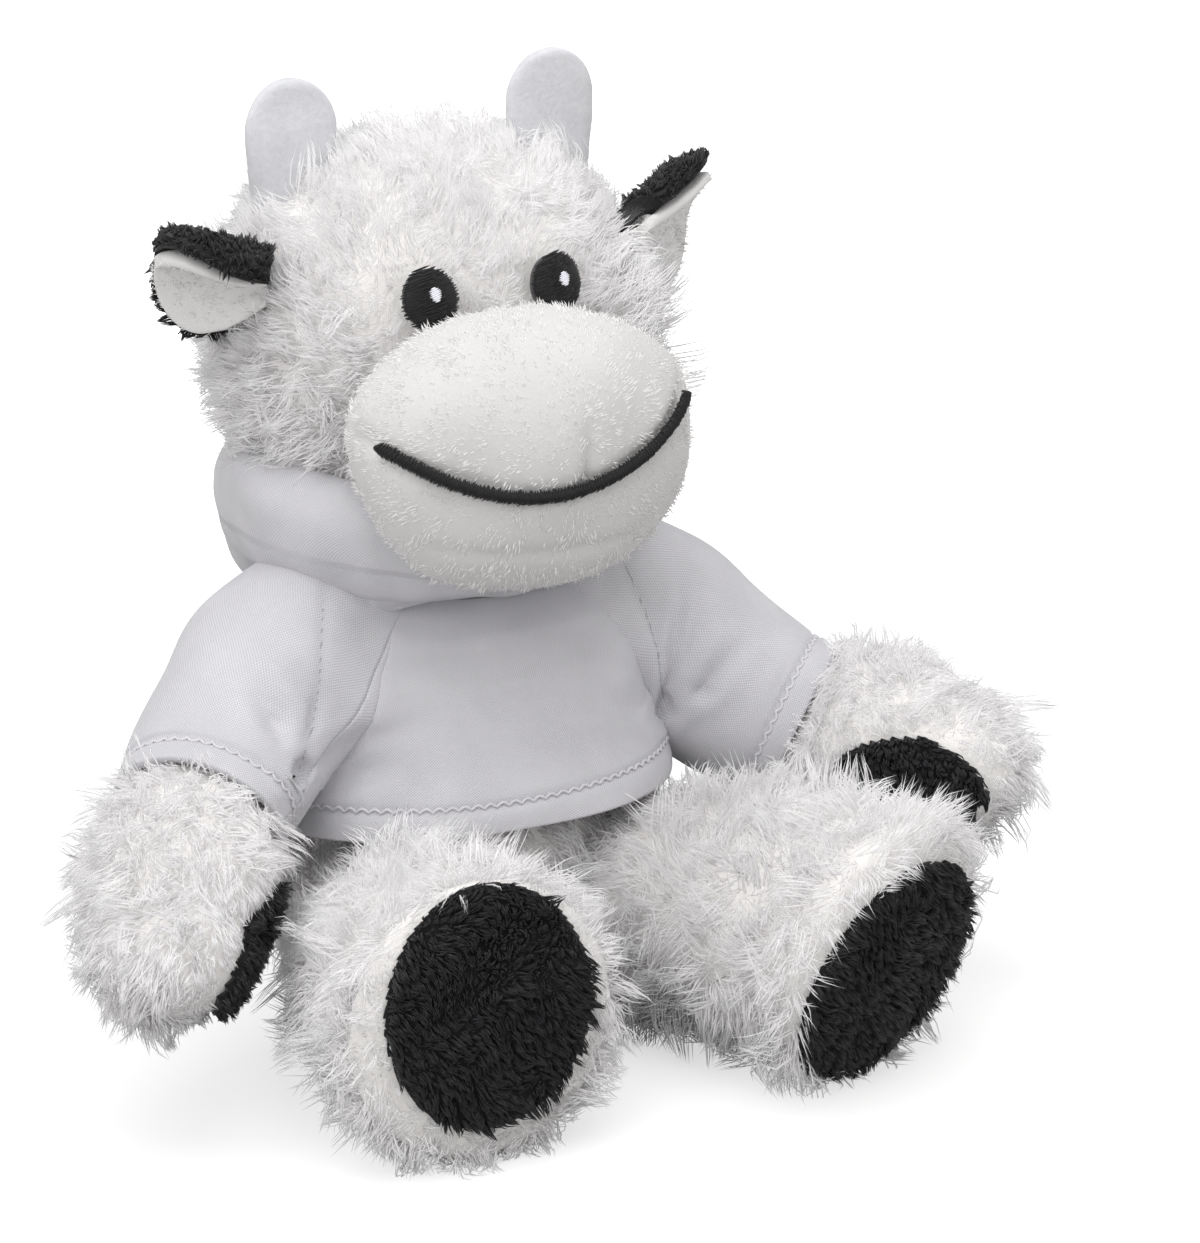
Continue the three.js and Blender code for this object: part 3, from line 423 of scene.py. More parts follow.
# The short plush and the ear velour are painted darker than the short pile on them, as shade under the
# fibres.
PAINTED_SHADE_SHORT_PLUSH = soft_cloth("white short plush", "#c5c4c3", "#cfcecd", 0.7, 0.2)
PAINTED_SHADE_EAR_VELOUR = soft_cloth("white ear velour", "#d3d2d1", "#dfdedd", 0.7, 0.2)
BLACK_PILE = plush_pile("black short pile", "#101011", "#36363a", "#161618", 0.55, 0.12, glow=0)
BLACK_BACKING = soft_cloth("black plush backing", "#0c0c0d", "#1b1b1d", 0.8, 0.3)
FELT = soft_cloth("pale grey wool felt", "#adaeb2", "#e6e6ea", 0.9, 0.25, rough=0.95)
# The knit's low colour is the painted shade of its hollows and of the raglan seam.
KNIT = knit_cloth("cool white jersey knit", "#9d9ca1", "#dcdbdf")
THREAD = soft_cloth("white sewing thread", "#dfe0e8", "#f4f4fa", 0.5, 0.05, rough=0.6)
HEM_THREAD = soft_cloth("pale hem thread", "#bebdc2", "#d6d5da", 0.5, 0.05, rough=0.7)
BLACK_THREAD = soft_cloth("black embroidery thread", "#0b0b0c", "#262628", 0.35, 0.08, 0.45, 0.1)
print(len(bpy.data.materials), "materials")


def dress(pieces, material, body, nodes=()):
    """Gives each piece its material and its moving body, and hides the CAD nodes it stands for."""
    for obj in pieces if isinstance(pieces, list) else [pieces]:
        obj.data.materials.append(material)
        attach(obj, body)
        if nodes:
            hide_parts(*nodes)

# %% [markdown]
# ## The body's forms and the camera
# Head and muzzle are swollen balls, |x|^p + |y|^p + |z|^p = 1 with a half length for each
# direction. The torso is a stack of ovals and each limb is a tube that swells along its path. The
# camera's place is set here too, because the hoodie's folds are laid where they are seen.

# %% Forms
TORSO_HEIGHT, TORSO_SIDE, TORSO_DEPTH, TORSO_LEAN = 75, 34, 31.5, 9.5
TORSO_RISE = [0, 0.05, 0.14, 0.28, 0.44, 0.58, 0.72, 0.83, 0.91, 0.97]
TORSO_GIRTH = [0.62, 0.82, 0.95, 1, 0.98, 0.94, 0.88, 0.8, 0.66, 0.42]
HEAD = vec(0, 12.2, 112.1)
HEAD_HALF = dict(side=38, front=24.5, back=31, up=34, down=34)
HEAD_POWER, MUZZLE_POWER = 2.25, 2.15
MUZZLE = vec(-1.3, -23.8, 103.6)
MUZZLE_HALF = dict(side=28.6, front=17.5, back=17.5, up=20, down=25)
HEM_HEIGHT, HEM_FLARE, KNIT_OUT = 39, 4, 2.3


def swollen(way, half, power):
    """Scales unit directions so that the powers of their parts sum to 1, then by the half lengths."""
    size = (np.abs(way) ** power).sum(-1, keepdims=True) ** (-1 / power)
    p = way * size
    return np.stack([
        p[..., 0] * half["side"],
        p[..., 1] * np.where(p[..., 1] < 0, half["front"], half["back"]),
        p[..., 2] * np.where(p[..., 2] < 0, half["down"], half["up"]),
    ], -1)


def ball(centre, half, power, grow=0, rows=48, cols=96):
    """A swollen ball: rings of directions (sin a cos b, sin a sin b, cos a)."""
    half = {k: v + grow for k, v in half.items()}
    a = np.linspace(0, np.pi, rows + 2)[1:-1, None]
    b = circle(cols)[None]
    way = np.stack([np.sin(a) * np.cos(b), np.sin(a) * np.sin(b), np.cos(a) + 0 * b], -1)
    first, last = vec(0, 0, half["up"]), vec(0, 0, -half["down"])
    verts, faces = capped(centre + swollen(way, half, power), centre + first, centre + last)
    return verts, outward(verts, faces)


def inside_ball(points, centre, half, power, grow=0):
    """True where (|x|/a)^p + (|y|/b)^p + (|z|/c)^p < 1."""
    p = points - centre
    parts = [np.abs(p[..., 0]) / (half["side"] + grow),
             np.abs(p[..., 1]) / (np.where(p[..., 1] < 0, half["front"], half["back"]) + grow),
             np.abs(p[..., 2]) / (np.where(p[..., 2] < 0, half["down"], half["up"]) + grow)]
    return sum(q**power for q in parts) < 1


def third(power, a, b):
    """The last part of a swollen ball's sum of powers, from the other two: (1 - a^p - b^p)^(1/p)."""
    return np.clip(1 - a**power - b**power, 0, 1) ** (1 / power)


def torso_share(points):
    """The share of the torso's height at which points lie."""
    return np.clip((points[:, 2] + 0.5) / (TORSO_HEIGHT + 0.5), 0, 1)


def torso_oval(points, grow):
    """How far out on the torso's oval points lie (1 is on it), and the oval's smaller half width."""
    share = torso_share(points)
    girth = np.interp(share, TORSO_RISE, TORSO_GIRTH)
    wide, deep = girth * TORSO_SIDE + grow, girth * TORSO_DEPTH + grow
    return np.hypot(points[:, 0] / wide, (points[:, 1] - share * TORSO_LEAN) / deep), np.minimum(wide, deep)


def torso_ring(share, angle, grow):
    """A point of the torso: an oval at a share of the height, leaning back as it rises."""
    girth = np.interp(share, TORSO_RISE, TORSO_GIRTH)
    return np.stack([
        (girth * TORSO_SIDE + grow) * np.cos(angle),
        share * TORSO_LEAN + (girth * TORSO_DEPTH + grow) * np.sin(angle),
        -0.5 + share * (TORSO_HEIGHT + 0.5) + 0 * angle,
    ], -1)


def hem_flare(share):
    """How far the hoodie stands off the torso: most at the hem, none at the neck."""
    low = HEM_HEIGHT / TORSO_HEIGHT
    return HEM_FLARE * np.clip(1 - (np.maximum(share, low) - low) / (1 - low), 0, 1) ** 2


def frame_along(tangent, roll):
    """Across is level, up completes it; both turn about the path by roll."""
    across = unit(np.cross(vec(0, 0, 1), tangent))
    up = np.cross(tangent, across)
    c, s = np.cos(roll)[:, None], np.sin(roll)[:, None]
    return across * c + up * s, up * c - across * s


def limb(points, radii, wide=1.0, tall=1.0, roll=0.0, depths=(10, 10), grow=0, rows=40, cols=64,
         span=(0, 1), tip_grow=None, tilt=0.0, ends=10):
    """Ovals along a path between two shares of it, closed by a cap of `ends` rings of each depth. A tilt
    slants the end: each point moves along the path by tan(tilt) times its height over the middle."""
    s = np.linspace(*span, rows)
    tip_grow = grow if tip_grow is None else tip_grow
    caps = np.sin(np.linspace(0, np.pi / 2, ends + 2)[1:-1])
    share = np.concatenate([np.full(ends, span[0]), s, np.full(ends, span[1])])
    size = np.concatenate([caps, np.ones(rows), caps[::-1]])
    deep = np.sqrt(1 - caps**2)
    near, far = depths[0] + grow, depths[1] + tip_grow
    shift = np.concatenate([-deep * near, np.zeros(rows), deep[::-1] * far])
    grown = grow + (tip_grow - grow) * ease((share - 0.8) / 0.2)
    centre = path(points, share)
    tangent = unit(path(points, share + 0.004) - path(points, share - 0.004))
    across, up = frame_along(tangent, np.radians(roll) * share)
    radius = along(radii, share)
    rings = ringed(centre + tangent * shift[:, None], across, up, (radius * wide + grown) * size,
                   (radius * tall + grown) * size, circle(cols))
    rise = frame_along(tangent, 0 * share)[1][:, None]
    above = rings - centre[:, None] - tangent[:, None] * shift[:, None, None]
    above = (above * rise).sum(-1, keepdims=True)
    slant = math.tan(math.radians(tilt)) * np.clip(2 * share - 1, 0, 1)
    rings = rings + tangent[:, None] * slant[:, None, None] * above
    first = path(points, span[0])[0] - tangent[0] * near
    last = path(points, span[1])[0] + tangent[-1] * far
    verts, faces = capped(rings, first, last)
    return verts, outward(verts, faces)


def arm_path(side):
    """From the shoulder to the middle of the hand; the arms aren't alike."""
    shoulder = vec(side * 27, 4, 66)
    right = [[0, 0, 0], [-0.371, -0.242, -0.272], [-0.52, -0.44, -0.405], [-0.585, -0.545, -0.485]]
    left = [[0, 0, 0], [0.386, -0.242, -0.318], [0.56, -0.432, -0.363], [0.674, -0.56, -0.394]]
    return shoulder + 66 * vec(*(right if side < 0 else left))


ARM_RADII = [13.5, 14, 17, 14.5]
LEG_RADII = [18.6, 22, 22.3]
LEG_WIDE, LEG_TALL, LEG_LENGTH, SOLE_BULGE = 1.06, 1.08, 44, 6.5
FOOT_TILT = {-1: 0, 1: 15}
FOOT_TURN = {-1: 0, 1: 32}


def leg_path(side):
    """From the hip to the middle of the foot, at the height where the leg rests on the floor."""
    right, left = [[0, 0], [-0.12, -0.5], [-0.13, -0.86]], [[0, 0], [0.29, -0.45], [0.47, -0.93]]
    turn = np.radians(FOOT_TURN[side]) * vec(0, 0.5, 1)
    drop = np.hypot(LEG_TALL * np.cos(turn), LEG_WIDE * np.sin(turn)) * LEG_RADII
    flat = vec(*(right if side < 0 else left)) * LEG_LENGTH + vec(side * 21, -20)
    return np.column_stack([flat, drop - 0.5])


def arm(side, grow=0, **sizes):
    """An arm's surface, larger than the skin by grow."""
    return limb(arm_path(side), ARM_RADII, depths=(13.5, 14.5), grow=grow, **sizes)


def leg(side, grow=0, **sizes):
    """A leg's surface; the cow's left foot is turned and tilted."""
    return limb(leg_path(side), LEG_RADII, LEG_WIDE, LEG_TALL, FOOT_TURN[side],
                (LEG_RADII[0], SOLE_BULGE), grow, tilt=FOOT_TILT[side], **sizes)


def torso(grow):
    """The torso's pear, cut flat just above the floor."""
    share = np.linspace(0, 0.97, 50)[:, None]
    angle = circle(96)[None]
    rings = torso_ring(share + 0 * angle, angle + 0 * share, grow)
    rings[..., 2] = np.maximum(rings[..., 2], 0.6)
    verts, faces = capped(rings, rings[0].mean(0), rings[-1].mean(0))
    return verts, outward(verts, faces)


def near_path(points, line, radius):
    """Distance from points to the surface of a tube round a path: |p - nearest| - radius."""
    t = np.linspace(0, 1, 60)
    gap = np.linalg.norm(points[:, None] - path(line, t)[None], axis=-1)
    k = gap.argmin(1)
    return gap[np.arange(len(points)), k] - along(radius, t[k]), t[k]


AZIMUTH, ELEVATION, DISTANCE = math.radians(-28), math.radians(18), 750.0
VIEW_RIGHT = vec(math.cos(AZIMUTH), math.sin(AZIMUTH), 0)
VIEW_BACK = (math.cos(ELEVATION) * vec(math.sin(AZIMUTH), -math.cos(AZIMUTH), 0)
             + math.sin(ELEVATION) * vec(0, 0, 1))
VIEW_UP = np.cross(VIEW_BACK, VIEW_RIGHT)
AIM = (21.58, 62.83)
VIEW_FROM = DISTANCE * VIEW_BACK + AIM[0] * VIEW_RIGHT + AIM[1] * VIEW_UP


def seen(points):
    """Where points appear from the camera: (across, up) in mm on the plane DISTANCE away."""
    ray = np.asarray(points) - VIEW_FROM
    return np.stack([ray @ VIEW_RIGHT, ray @ VIEW_UP], -1) * (-DISTANCE / (ray @ VIEW_BACK))[..., None]


SIDES = ((-1, "right"), (1, "left"))
print("forms ready")

# %% [markdown]
# ## Head
# The head is one ball of long pile. The backing lies 4 mm under the middle of the pile. The
# pile is combed away from the snout and grows short round the eyes.

# %% Head
PILE_DEPTH = 4
EYES = [HEAD + vec(side * 11, -22.5, 11) for side, _ in SIDES]


def head_lay(points):
    """Away from the snout over the head, and down at the back."""
    away = unit(points - MUZZLE)
    return away + vec(0, 0, -0.25) * ease((points[:, 1:2] - 5) / 25)


def from_eyes(points):
    """The distance from each eye as seen from the front."""
    return np.array([np.hypot(points[:, 0] - e[0], points[:, 2] - e[2]) for e in EYES])


def head_keep(points):
    """1 on the head outside the snout and the eyes, 0 below the collar."""
    snout = inside_ball(points, MUZZLE, MUZZLE_HALF, MUZZLE_POWER, -1.5)
    eyes = from_eyes(points).min(0) < 3.7
    return ~snout & ~(eyes & (points[:, 1] < 0)) & (points[:, 2] > 74)


def full_cheek(points):
    """1 at the cow's left cheek, where the photographed pile stands out furthest, fading to 0."""
    p = points - HEAD
    return ease((p[:, 0] - 16) / 14) * ease((12 - p[:, 1]) / 12) * ease((12 - p[:, 2]) / 10)


def head_trim(points):
    """The pile is clipped short round the eyes and where it meets the snout."""
    eyes = np.where(points[:, 1] < 0, ease((from_eyes(points) - 3.5) / 8).prod(0), 1)
    snout = 1 - 0.45 * inside_ball(points, MUZZLE, MUZZLE_HALF, MUZZLE_POWER, 4)
    return (0.3 + 0.7 * eyes) * snout * (1 + 0.35 * full_cheek(points))


verts, faces = ball(HEAD, HEAD_HALF, HEAD_POWER, -PILE_DEPTH)
head_base = verts + normals(verts, faces) * 2 * full_cheek(verts)[:, None], faces
dress(mesh("head_backing", *head_base), PAINTED_SHADE_BACKING, "head", ["head_stuffing"])
fur = coat("head_pile", head_base, 26500, 8, head_lay, head_keep, 11, parts=2, trim=head_trim, swirl=0.6)
dress(fur, WHITE_PILE, "head", ["head_skin"])

# %% [markdown]
# ## Torso below the hoodie
# Only the part under the hem and between the thighs shows, so pile grows there only. It hangs
# down and its tips stop at the floor.

# %% Torso
torso_base = torso(-PILE_DEPTH)
dress(mesh("torso_backing", *torso_base), PAINTED_SHADE_BACKING, "torso", ["torso_stuffing"])


def body_keep(points):
    """1 below the hem and above the seat, outside both legs."""
    shown = (points[:, 2] < HEM_HEIGHT + 2) & (points[:, 2] > 2)
    for side, _ in SIDES:
        shown &= near_path(points, leg_path(side), LEG_RADII)[0] > -4
    return shown


fur = coat("torso_pile", torso_base, 4800, 8.5, one_way(0, -0.3, -1), body_keep, 21)
dress(fur, WHITE_PILE, "torso", ["torso_skin"])

# %% [markdown]
# ## Arms and legs
# Each limb is a stuffed tube of long pile. Under the sleeve the pile is pressed flat, so it grows
# only past the hem. Palms and soles carry black short pile, so the white pile stops round them.

# %% Limbs
PADS = {-1: vec(0.25, -0.75, -0.62), 1: vec(-0.4, -0.88, -0.12)}


def pad_frame(side):
    """The palm's middle and directions: out of the palm, along the hand, and across it."""
    line = arm_path(side)
    run = unit(path(line, 0.93) - path(line, 0.91))[0]
    palm = unit(PADS[side])
    palm = unit(palm - run * (palm @ run))
    return path(line, 0.92)[0], palm, run, np.cross(run, palm)


def on_pad(points, side, half=(12.5, 8.5)):
    """How far out on the palm's ellipse a point lies: below 1 is on the pad."""
    middle, palm, run, across = pad_frame(side)
    p = points - middle
    out = np.hypot(p @ run / half[0], p @ across / half[1])
    return np.where(p @ palm > 0, out, 9)


SOLE_HALF = {-1: (17.4, 19.3), 1: (20, 20)}


def sole_frame(side):
    """The sole's middle and directions: out of the sole, across it and up."""
    line = leg_path(side)
    ahead = unit(path(line, 1) - path(line, 0.99))
    run = unit(ahead - frame_along(ahead, np.zeros(1))[1] * math.tan(math.radians(FOOT_TILT[side])))
    across, up = frame_along(run, np.radians([FOOT_TURN[side]]))
    return path(line, 1)[0] - vec(0, 0, 3 * side), run[0], across[0], up[0]


def on_sole(points, side):
    """How far out on the sole's ellipse a point lies: below 1 is on the sole."""
    half = SOLE_HALF[side]
    middle, run, across, up = sole_frame(side)
    p = points - middle
    out = np.hypot(p @ across / half[0], p @ up / half[1])
    return np.where(p @ run > 0.5, out, 9)


def stuffed(name, base, count, length, lay, keep, seed, trim):
    """A limb's backing for its stuffing, and its coat for its skin."""
    dress(mesh(f"{name}_backing", *base), PAINTED_SHADE_BACKING, name, [f"{name}_stuffing"])
    fur = coat(f"{name}_pile", base, count, length, lay, keep, seed, trim=trim)
    dress(fur, WHITE_PILE, name, [f"{name}_skin"])


for side, hand in SIDES:
    line = arm_path(side)
    keep = lambda p: (near_path(p, line, ARM_RADII)[1] > 0.27) & (on_pad(p, side) > 0.93)
    lay = lambda p: unit(line[3] - line[1]) * 0.8 + vec(0, 0, -0.6) + 0 * p
    by_pad = lambda p: (0.3 + 0.7 * ease((on_pad(p, side) - 0.97) / 0.5)) * (
        0.4 + 0.6 * ease((near_path(p, line, ARM_RADII)[1] - 0.32) / 0.09))
    stuffed(f"{hand}_arm", arm(side, -3), 8500, 7.3, lay, keep, 31 + side, by_pad)

for side, foot in SIDES:
    line = leg_path(side)
    keep = lambda p: (torso_oval(p, -7)[0] > 1) & (on_sole(p, side) > 0.95)
    lay = lambda p: vec(0, 0.2, -0.4) + unit(p - line.mean(0)) * vec(0.8, 0.4, 0.8)
    by_sole = lambda p: 0.22 + 0.78 * ease((on_sole(p, side) - 0.97) / 0.4)
    base = leg(side, -PILE_DEPTH, tip_grow=-2)
    stuffed(f"{foot}_leg", base, 11400, 8.5, lay, keep, 41 + side, by_sole)

# %% [markdown]
# ## Black pads
# Soles and palms are ovals of black short plush let into the white pile. A patch follows its
# limb's form, just above it, and its pile is 2.6 mm long and stands in small tufts.

# %% Pads
CLOTH_THICK = 1.2


def thicken(obj):
    """The Solidify modifier adds the cloth's thickness inwards."""
    solid = obj.modifiers.new("thickness", "SOLIDIFY")
    solid.thickness, solid.offset = CLOTH_THICK * MM, -1
    return obj


def plate(name, surface):
    """A surface patch as a thin plate of cloth."""
    verts, faces = surface
    used = np.unique(np.concatenate([f.ravel() for f in faces]))
    index = np.full(len(verts), -1)
    index[used] = np.arange(len(used))
    return thicken(mesh(name, verts[used], [index[f] for f in faces if len(f)]))


def black_pad(name, body, node, skin, keep, count, way, seed, steepest, swirl):
    """The faces of a limb's skin whose points keep() marks, as a plate with tufts of short pile."""
    verts, faces = skin
    used = keep(verts)
    patch = verts, [f[used[f].all(1)] for f in faces]
    dress(plate(f"{name}_backing", patch), BLACK_BACKING, body, [node])
    fur = pile(f"{name}_pile", patch, count, 2.6, 0.15, one_way(*way), everywhere, seed, each=7,
               lean=(0.3, steepest), curl=0.15, swirl=swirl, rings=2)
    dress(fur, BLACK_PILE, body, [node])


for side, hand in SIDES:
    black_pad(f"{hand}_pad", f"{hand}_arm", f"{hand}_hand_pad", arm(side, -1.8, rows=90, cols=110),
              lambda p: on_pad(p, side) < 1, 2600, (0.4 * side, 0, -1), 61 + side, 0.8, 0.9)

for side, foot in SIDES:
    skin = leg(side, -PILE_DEPTH, rows=60, cols=200, tip_grow=-1.2, ends=45)
    black_pad(f"{foot}_sole", f"{foot}_leg", f"{foot}_sole", skin, lambda p: on_sole(p, side) < 1,
              5600, (0.5, 0, -1), 71 + side, 0.9, 0.8)

# %% [markdown]
# ## Snout
# Two panels of short plush meet at the smile, and a seam runs down the middle of the upper one.
# The seams are shallow grooves in the ball. The pile is 1.6 mm long and lies nearly flat, outwards.

# %% Snout
SMILE_HALF, SMILE_ASIDE, SMILE_RISE, SMILE_SAG, SMILE_TILT = 25.1, -2.4, 4.3, 5.1, 1.6


def smile_height(x):
    """z = -sag + (sag + rise) s^2 + tilt s with s = (x - aside) / half span."""
    s = (x - SMILE_ASIDE) / SMILE_HALF
    return -SMILE_SAG + (SMILE_SAG + SMILE_RISE) * s**2 + SMILE_TILT * s


def snout(grow):
    """The snout's ball with a groove along its middle seam and one under the chin."""
    verts, faces = ball(MUZZLE, MUZZLE_HALF, MUZZLE_POWER, grow, rows=110, cols=180)
    x, y, z = (verts - MUZZLE).T
    over = z - smile_height(x)
    middle = np.exp(-((x - 2.2 - 0.05 * z) / 1.1) ** 2) * (over > 0) * ease((9 - z) / 10)
    chin = np.exp(-((z + 15.5 - 0.006 * x**2) / 1.3) ** 2) * ease((24 - abs(x)) / 8)
    smile = np.exp(-((over / 1.8) ** 2)) * (abs(x - SMILE_ASIDE) < SMILE_HALF + 1)
    grooves = (1.1 * middle + 0.5 * chin + 0.9 * smile) * (y < 2)
    cheeks = 0.5 * ripple(verts, 24, 5)[:, 0]
    return verts + normals(verts, faces) * (cheeks - grooves)[:, None], faces


snout_skin = snout(-0.5)
dress(mesh("snout_backing", *snout_skin), PAINTED_SHADE_SHORT_PLUSH, "head", ["muzzle_stuffing"])


def snout_keep(points):
    """1 outside the head and off the smile and the seam."""
    x, y, z = (points - MUZZLE).T
    on_smile = (abs(z - smile_height(x)) < 0.9) & (abs(x - SMILE_ASIDE) < SMILE_HALF) & (y < 0)
    return ~inside_ball(points, HEAD, HEAD_HALF, HEAD_POWER, -3) & ~on_smile


for part, panel in enumerate(("muzzle_panel", "chin_panel")):
    above = lambda p: p[:, 2] - MUZZLE[2] > smile_height(p[:, 0] - MUZZLE[0])
    half = lambda p: snout_keep(p) & (above(p) == (part == 0))
    lay = lambda p: unit(p - MUZZLE - vec(0, -14, 0))
    fur = pile(f"snout_pile_{part + 1}", snout_skin, 7500, 1.6, 0.09, lay, half, 81 + part, each=5,
               lean=(1.1, 1.45), pull=0.15, curl=0.04, swirl=0.25, rings=2)
    dress(fur, SHORT_PILE, "head", [panel])

# %% [markdown]
# ## Smile and eyes
# Both are satin stitch: threads lie side by side over a padding, and their ends dip into the
# cloth. A smooth dark core stands for the padding, and every thread over it is a small arched
# tube, so that the edges are ragged as sewn edges are.

# %% Embroidery
def threads(name, first, last, out, rise, radius):
    """A tube per row of first and last: first + (last - first) t + out rise sin(pi t)^0.6."""
    t = np.linspace(0, 1, 5)
    line = first[:, None] + (last - first)[:, None] * t[None, :, None]
    hump = np.sin(np.pi * t)
    line = line + out[:, None] * (rise * hump**0.6 - 0.15 * (1 - hump))[:, None]
    run = unit(np.gradient(line, axis=1))
    side = unit(np.cross(run, out[:, None]))
    size = radius * (0.5 + 0.5 * hump**0.5)[None]
    verts = ringed(line, side, np.cross(side, run), size, size, np.arange(4)[::-1] * np.pi / 2)
    quads = np.concatenate([ring_faces(5, 4), [[3, 2, 1, 0], [16, 17, 18, 19]]])
    base = (np.arange(len(first)) * 20)[:, None, None]
    return mesh(name, verts.reshape(-1, 3), [(base + quads).reshape(-1, 4)])


def front_at(centre, half, power, x, z):
    """A swollen ball's front at (x, z) beside its middle, and the outward normal there."""
    tall = np.where(z < 0, half["down"], half["up"])
    u, w = np.abs(x) / half["side"], np.abs(z) / tall
    v = third(power, u, w)
    slope = np.stack([np.sign(x) * u ** (power - 1) / half["side"], -(v ** (power - 1)) / half["front"],
                      np.sign(z) * w ** (power - 1) / tall], -1)
    return centre + np.stack([x, -half["front"] * v, z], -1), unit(slope)


def even(points, count):
    """The same line with its points spread evenly along it."""
    length = lengths(points)
    at = np.linspace(0, length[-1], count)
    return np.stack([np.interp(at, length, points[:, k]) for k in range(3)], -1), at


x = SMILE_ASIDE + SMILE_HALF * np.sin(np.linspace(-1, 1, 900) * np.pi / 2)
line, at = even(front_at(MUZZLE, MUZZLE_HALF, MUZZLE_POWER, x, smile_height(x))[0], 260)
away = line - MUZZLE
out = front_at(MUZZLE, MUZZLE_HALF, MUZZLE_POWER, away[:, 0], away[:, 2])[1]
run = unit(np.gradient(line, axis=0))
across = unit(np.cross(out, run))
rng = np.random.default_rng(7)
taper = np.sqrt(np.clip(np.minimum(at, at[-1] - at) / 1.2 + 0.25, 0, 1))
half = 1.12 * taper * (1 + 0.12 * rng.normal(size=(2, 260)))
slant = run * (0.22 + 0.08 * rng.normal(size=260))[:, None]
smile = threads("smile_stitches", line - across * half[0][:, None] - slant,
                line + across * half[1][:, None] + slant, out, 0.75, 0.19)
dress(smile, BLACK_THREAD, "head", ["smile_stitch"])
core = capped(ringed(line, across, out, 0.85 * taper, 0.6 * taper, circle(12)), line[0], line[-1])
dress(mesh("smile_padding", core[0], outward(*core)), BLACK_THREAD, "head")


def dome(middle, half, lift, height, r, turn):
    """The face at radius r of an oval, raised by lift + height (1 - r^4)."""
    x, z = middle[0] + half[0] * r * np.cos(turn), middle[1] + half[1] * r * np.sin(turn)
    place, out = front_at(HEAD, HEAD_HALF, HEAD_POWER, x, z)
    return place + out * (lift + height * (1 - r**4))[..., None], out


def padding(name, middle, half, lift, height):
    """The smooth oval dome under the threads, closed below."""
    r = np.append(np.linspace(0, 0.94, 14)[1:], 0.94)[:, None]
    turn = circle(60)[None]
    rings, out = dome(middle, half, lift - 0.12, height, r + 0 * turn, turn + 0 * r)
    rings[-1] -= out[-1] * 2
    verts, faces = capped(rings, rings[0].mean(0), rings[-1].mean(0))
    return mesh(name, verts, outward(verts, faces))


def satin(name, middle, half, lift, height, tilt, pitch, seed, long=2.6):
    """Rows of threads across a unit disc turned by tilt, each row cut into stitches about `long` mm."""
    rng = np.random.default_rng(seed)
    rows, spans = np.arange(-1 + pitch / half[1] / 2, 1, pitch / half[1]), []
    for row in rows:
        reach = math.sqrt(1 - row**2) * (1 + 0.04 * rng.normal())
        cuts = np.linspace(-reach, reach, max(2, round(2 * reach * half[0] / long) + 1))
        cuts[1:-1] += rng.uniform(-0.16, 0.16, len(cuts) - 2)
        spans += [(a - 0.03, b + 0.03, row + 0.02 * rng.normal()) for a, b in zip(cuts[:-1], cuts[1:])]
    a, b, row = np.array(spans).T
    c, s = math.cos(tilt), math.sin(tilt)
    ends = []
    for u in (a, b, (a + b) / 2):
        x, z = u * c - row * s, u * s + row * c
        ends.append(dome(middle, half, lift, height, np.minimum(np.hypot(x, z), 1.08), np.arctan2(z, x)))
    return threads(name, ends[0][0], ends[1][0], ends[2][1], 0.12, pitch * 0.62)


for side, hand in SIDES:
    oval = (side * 11, 11), (4.4, 4.9), 0.6, 0.9
    eye = satin(f"{hand}_eye_stitches", *oval, 0.25, 0.27, 3 + side)
    dress(eye, BLACK_THREAD, "head", [f"{hand}_eye"])
    dress(padding(f"{hand}_eye_padding", *oval), BLACK_THREAD, "head")
    oval = (side * 11 + 0.5, 11.7), (0.95, 1.05), 1.68, 0.1
    glint = satin(f"{hand}_glint_stitches", *oval, 0.3, 0.27, 9 + side)
    dress(glint, THREAD, "head", [f"{hand}_eye_glint"])
print("face ready")

# %% [markdown]
# ## Horns
# Each horn is a tongue cut from felt, about 3 mm thick and sewn flat into the head's seam.
# The surface is an oval tube: its width follows the tongue's outline and its edge is rounded.

# %% Horns
HORN_LENGTH, HORN_SUNK, HORN_HALF = 21.3, 8, 7.7


def rounded(wave, power):
    """A cosine or sine with its size raised to a power, which squares the oval up."""
    return np.sign(wave) * np.abs(wave) ** power


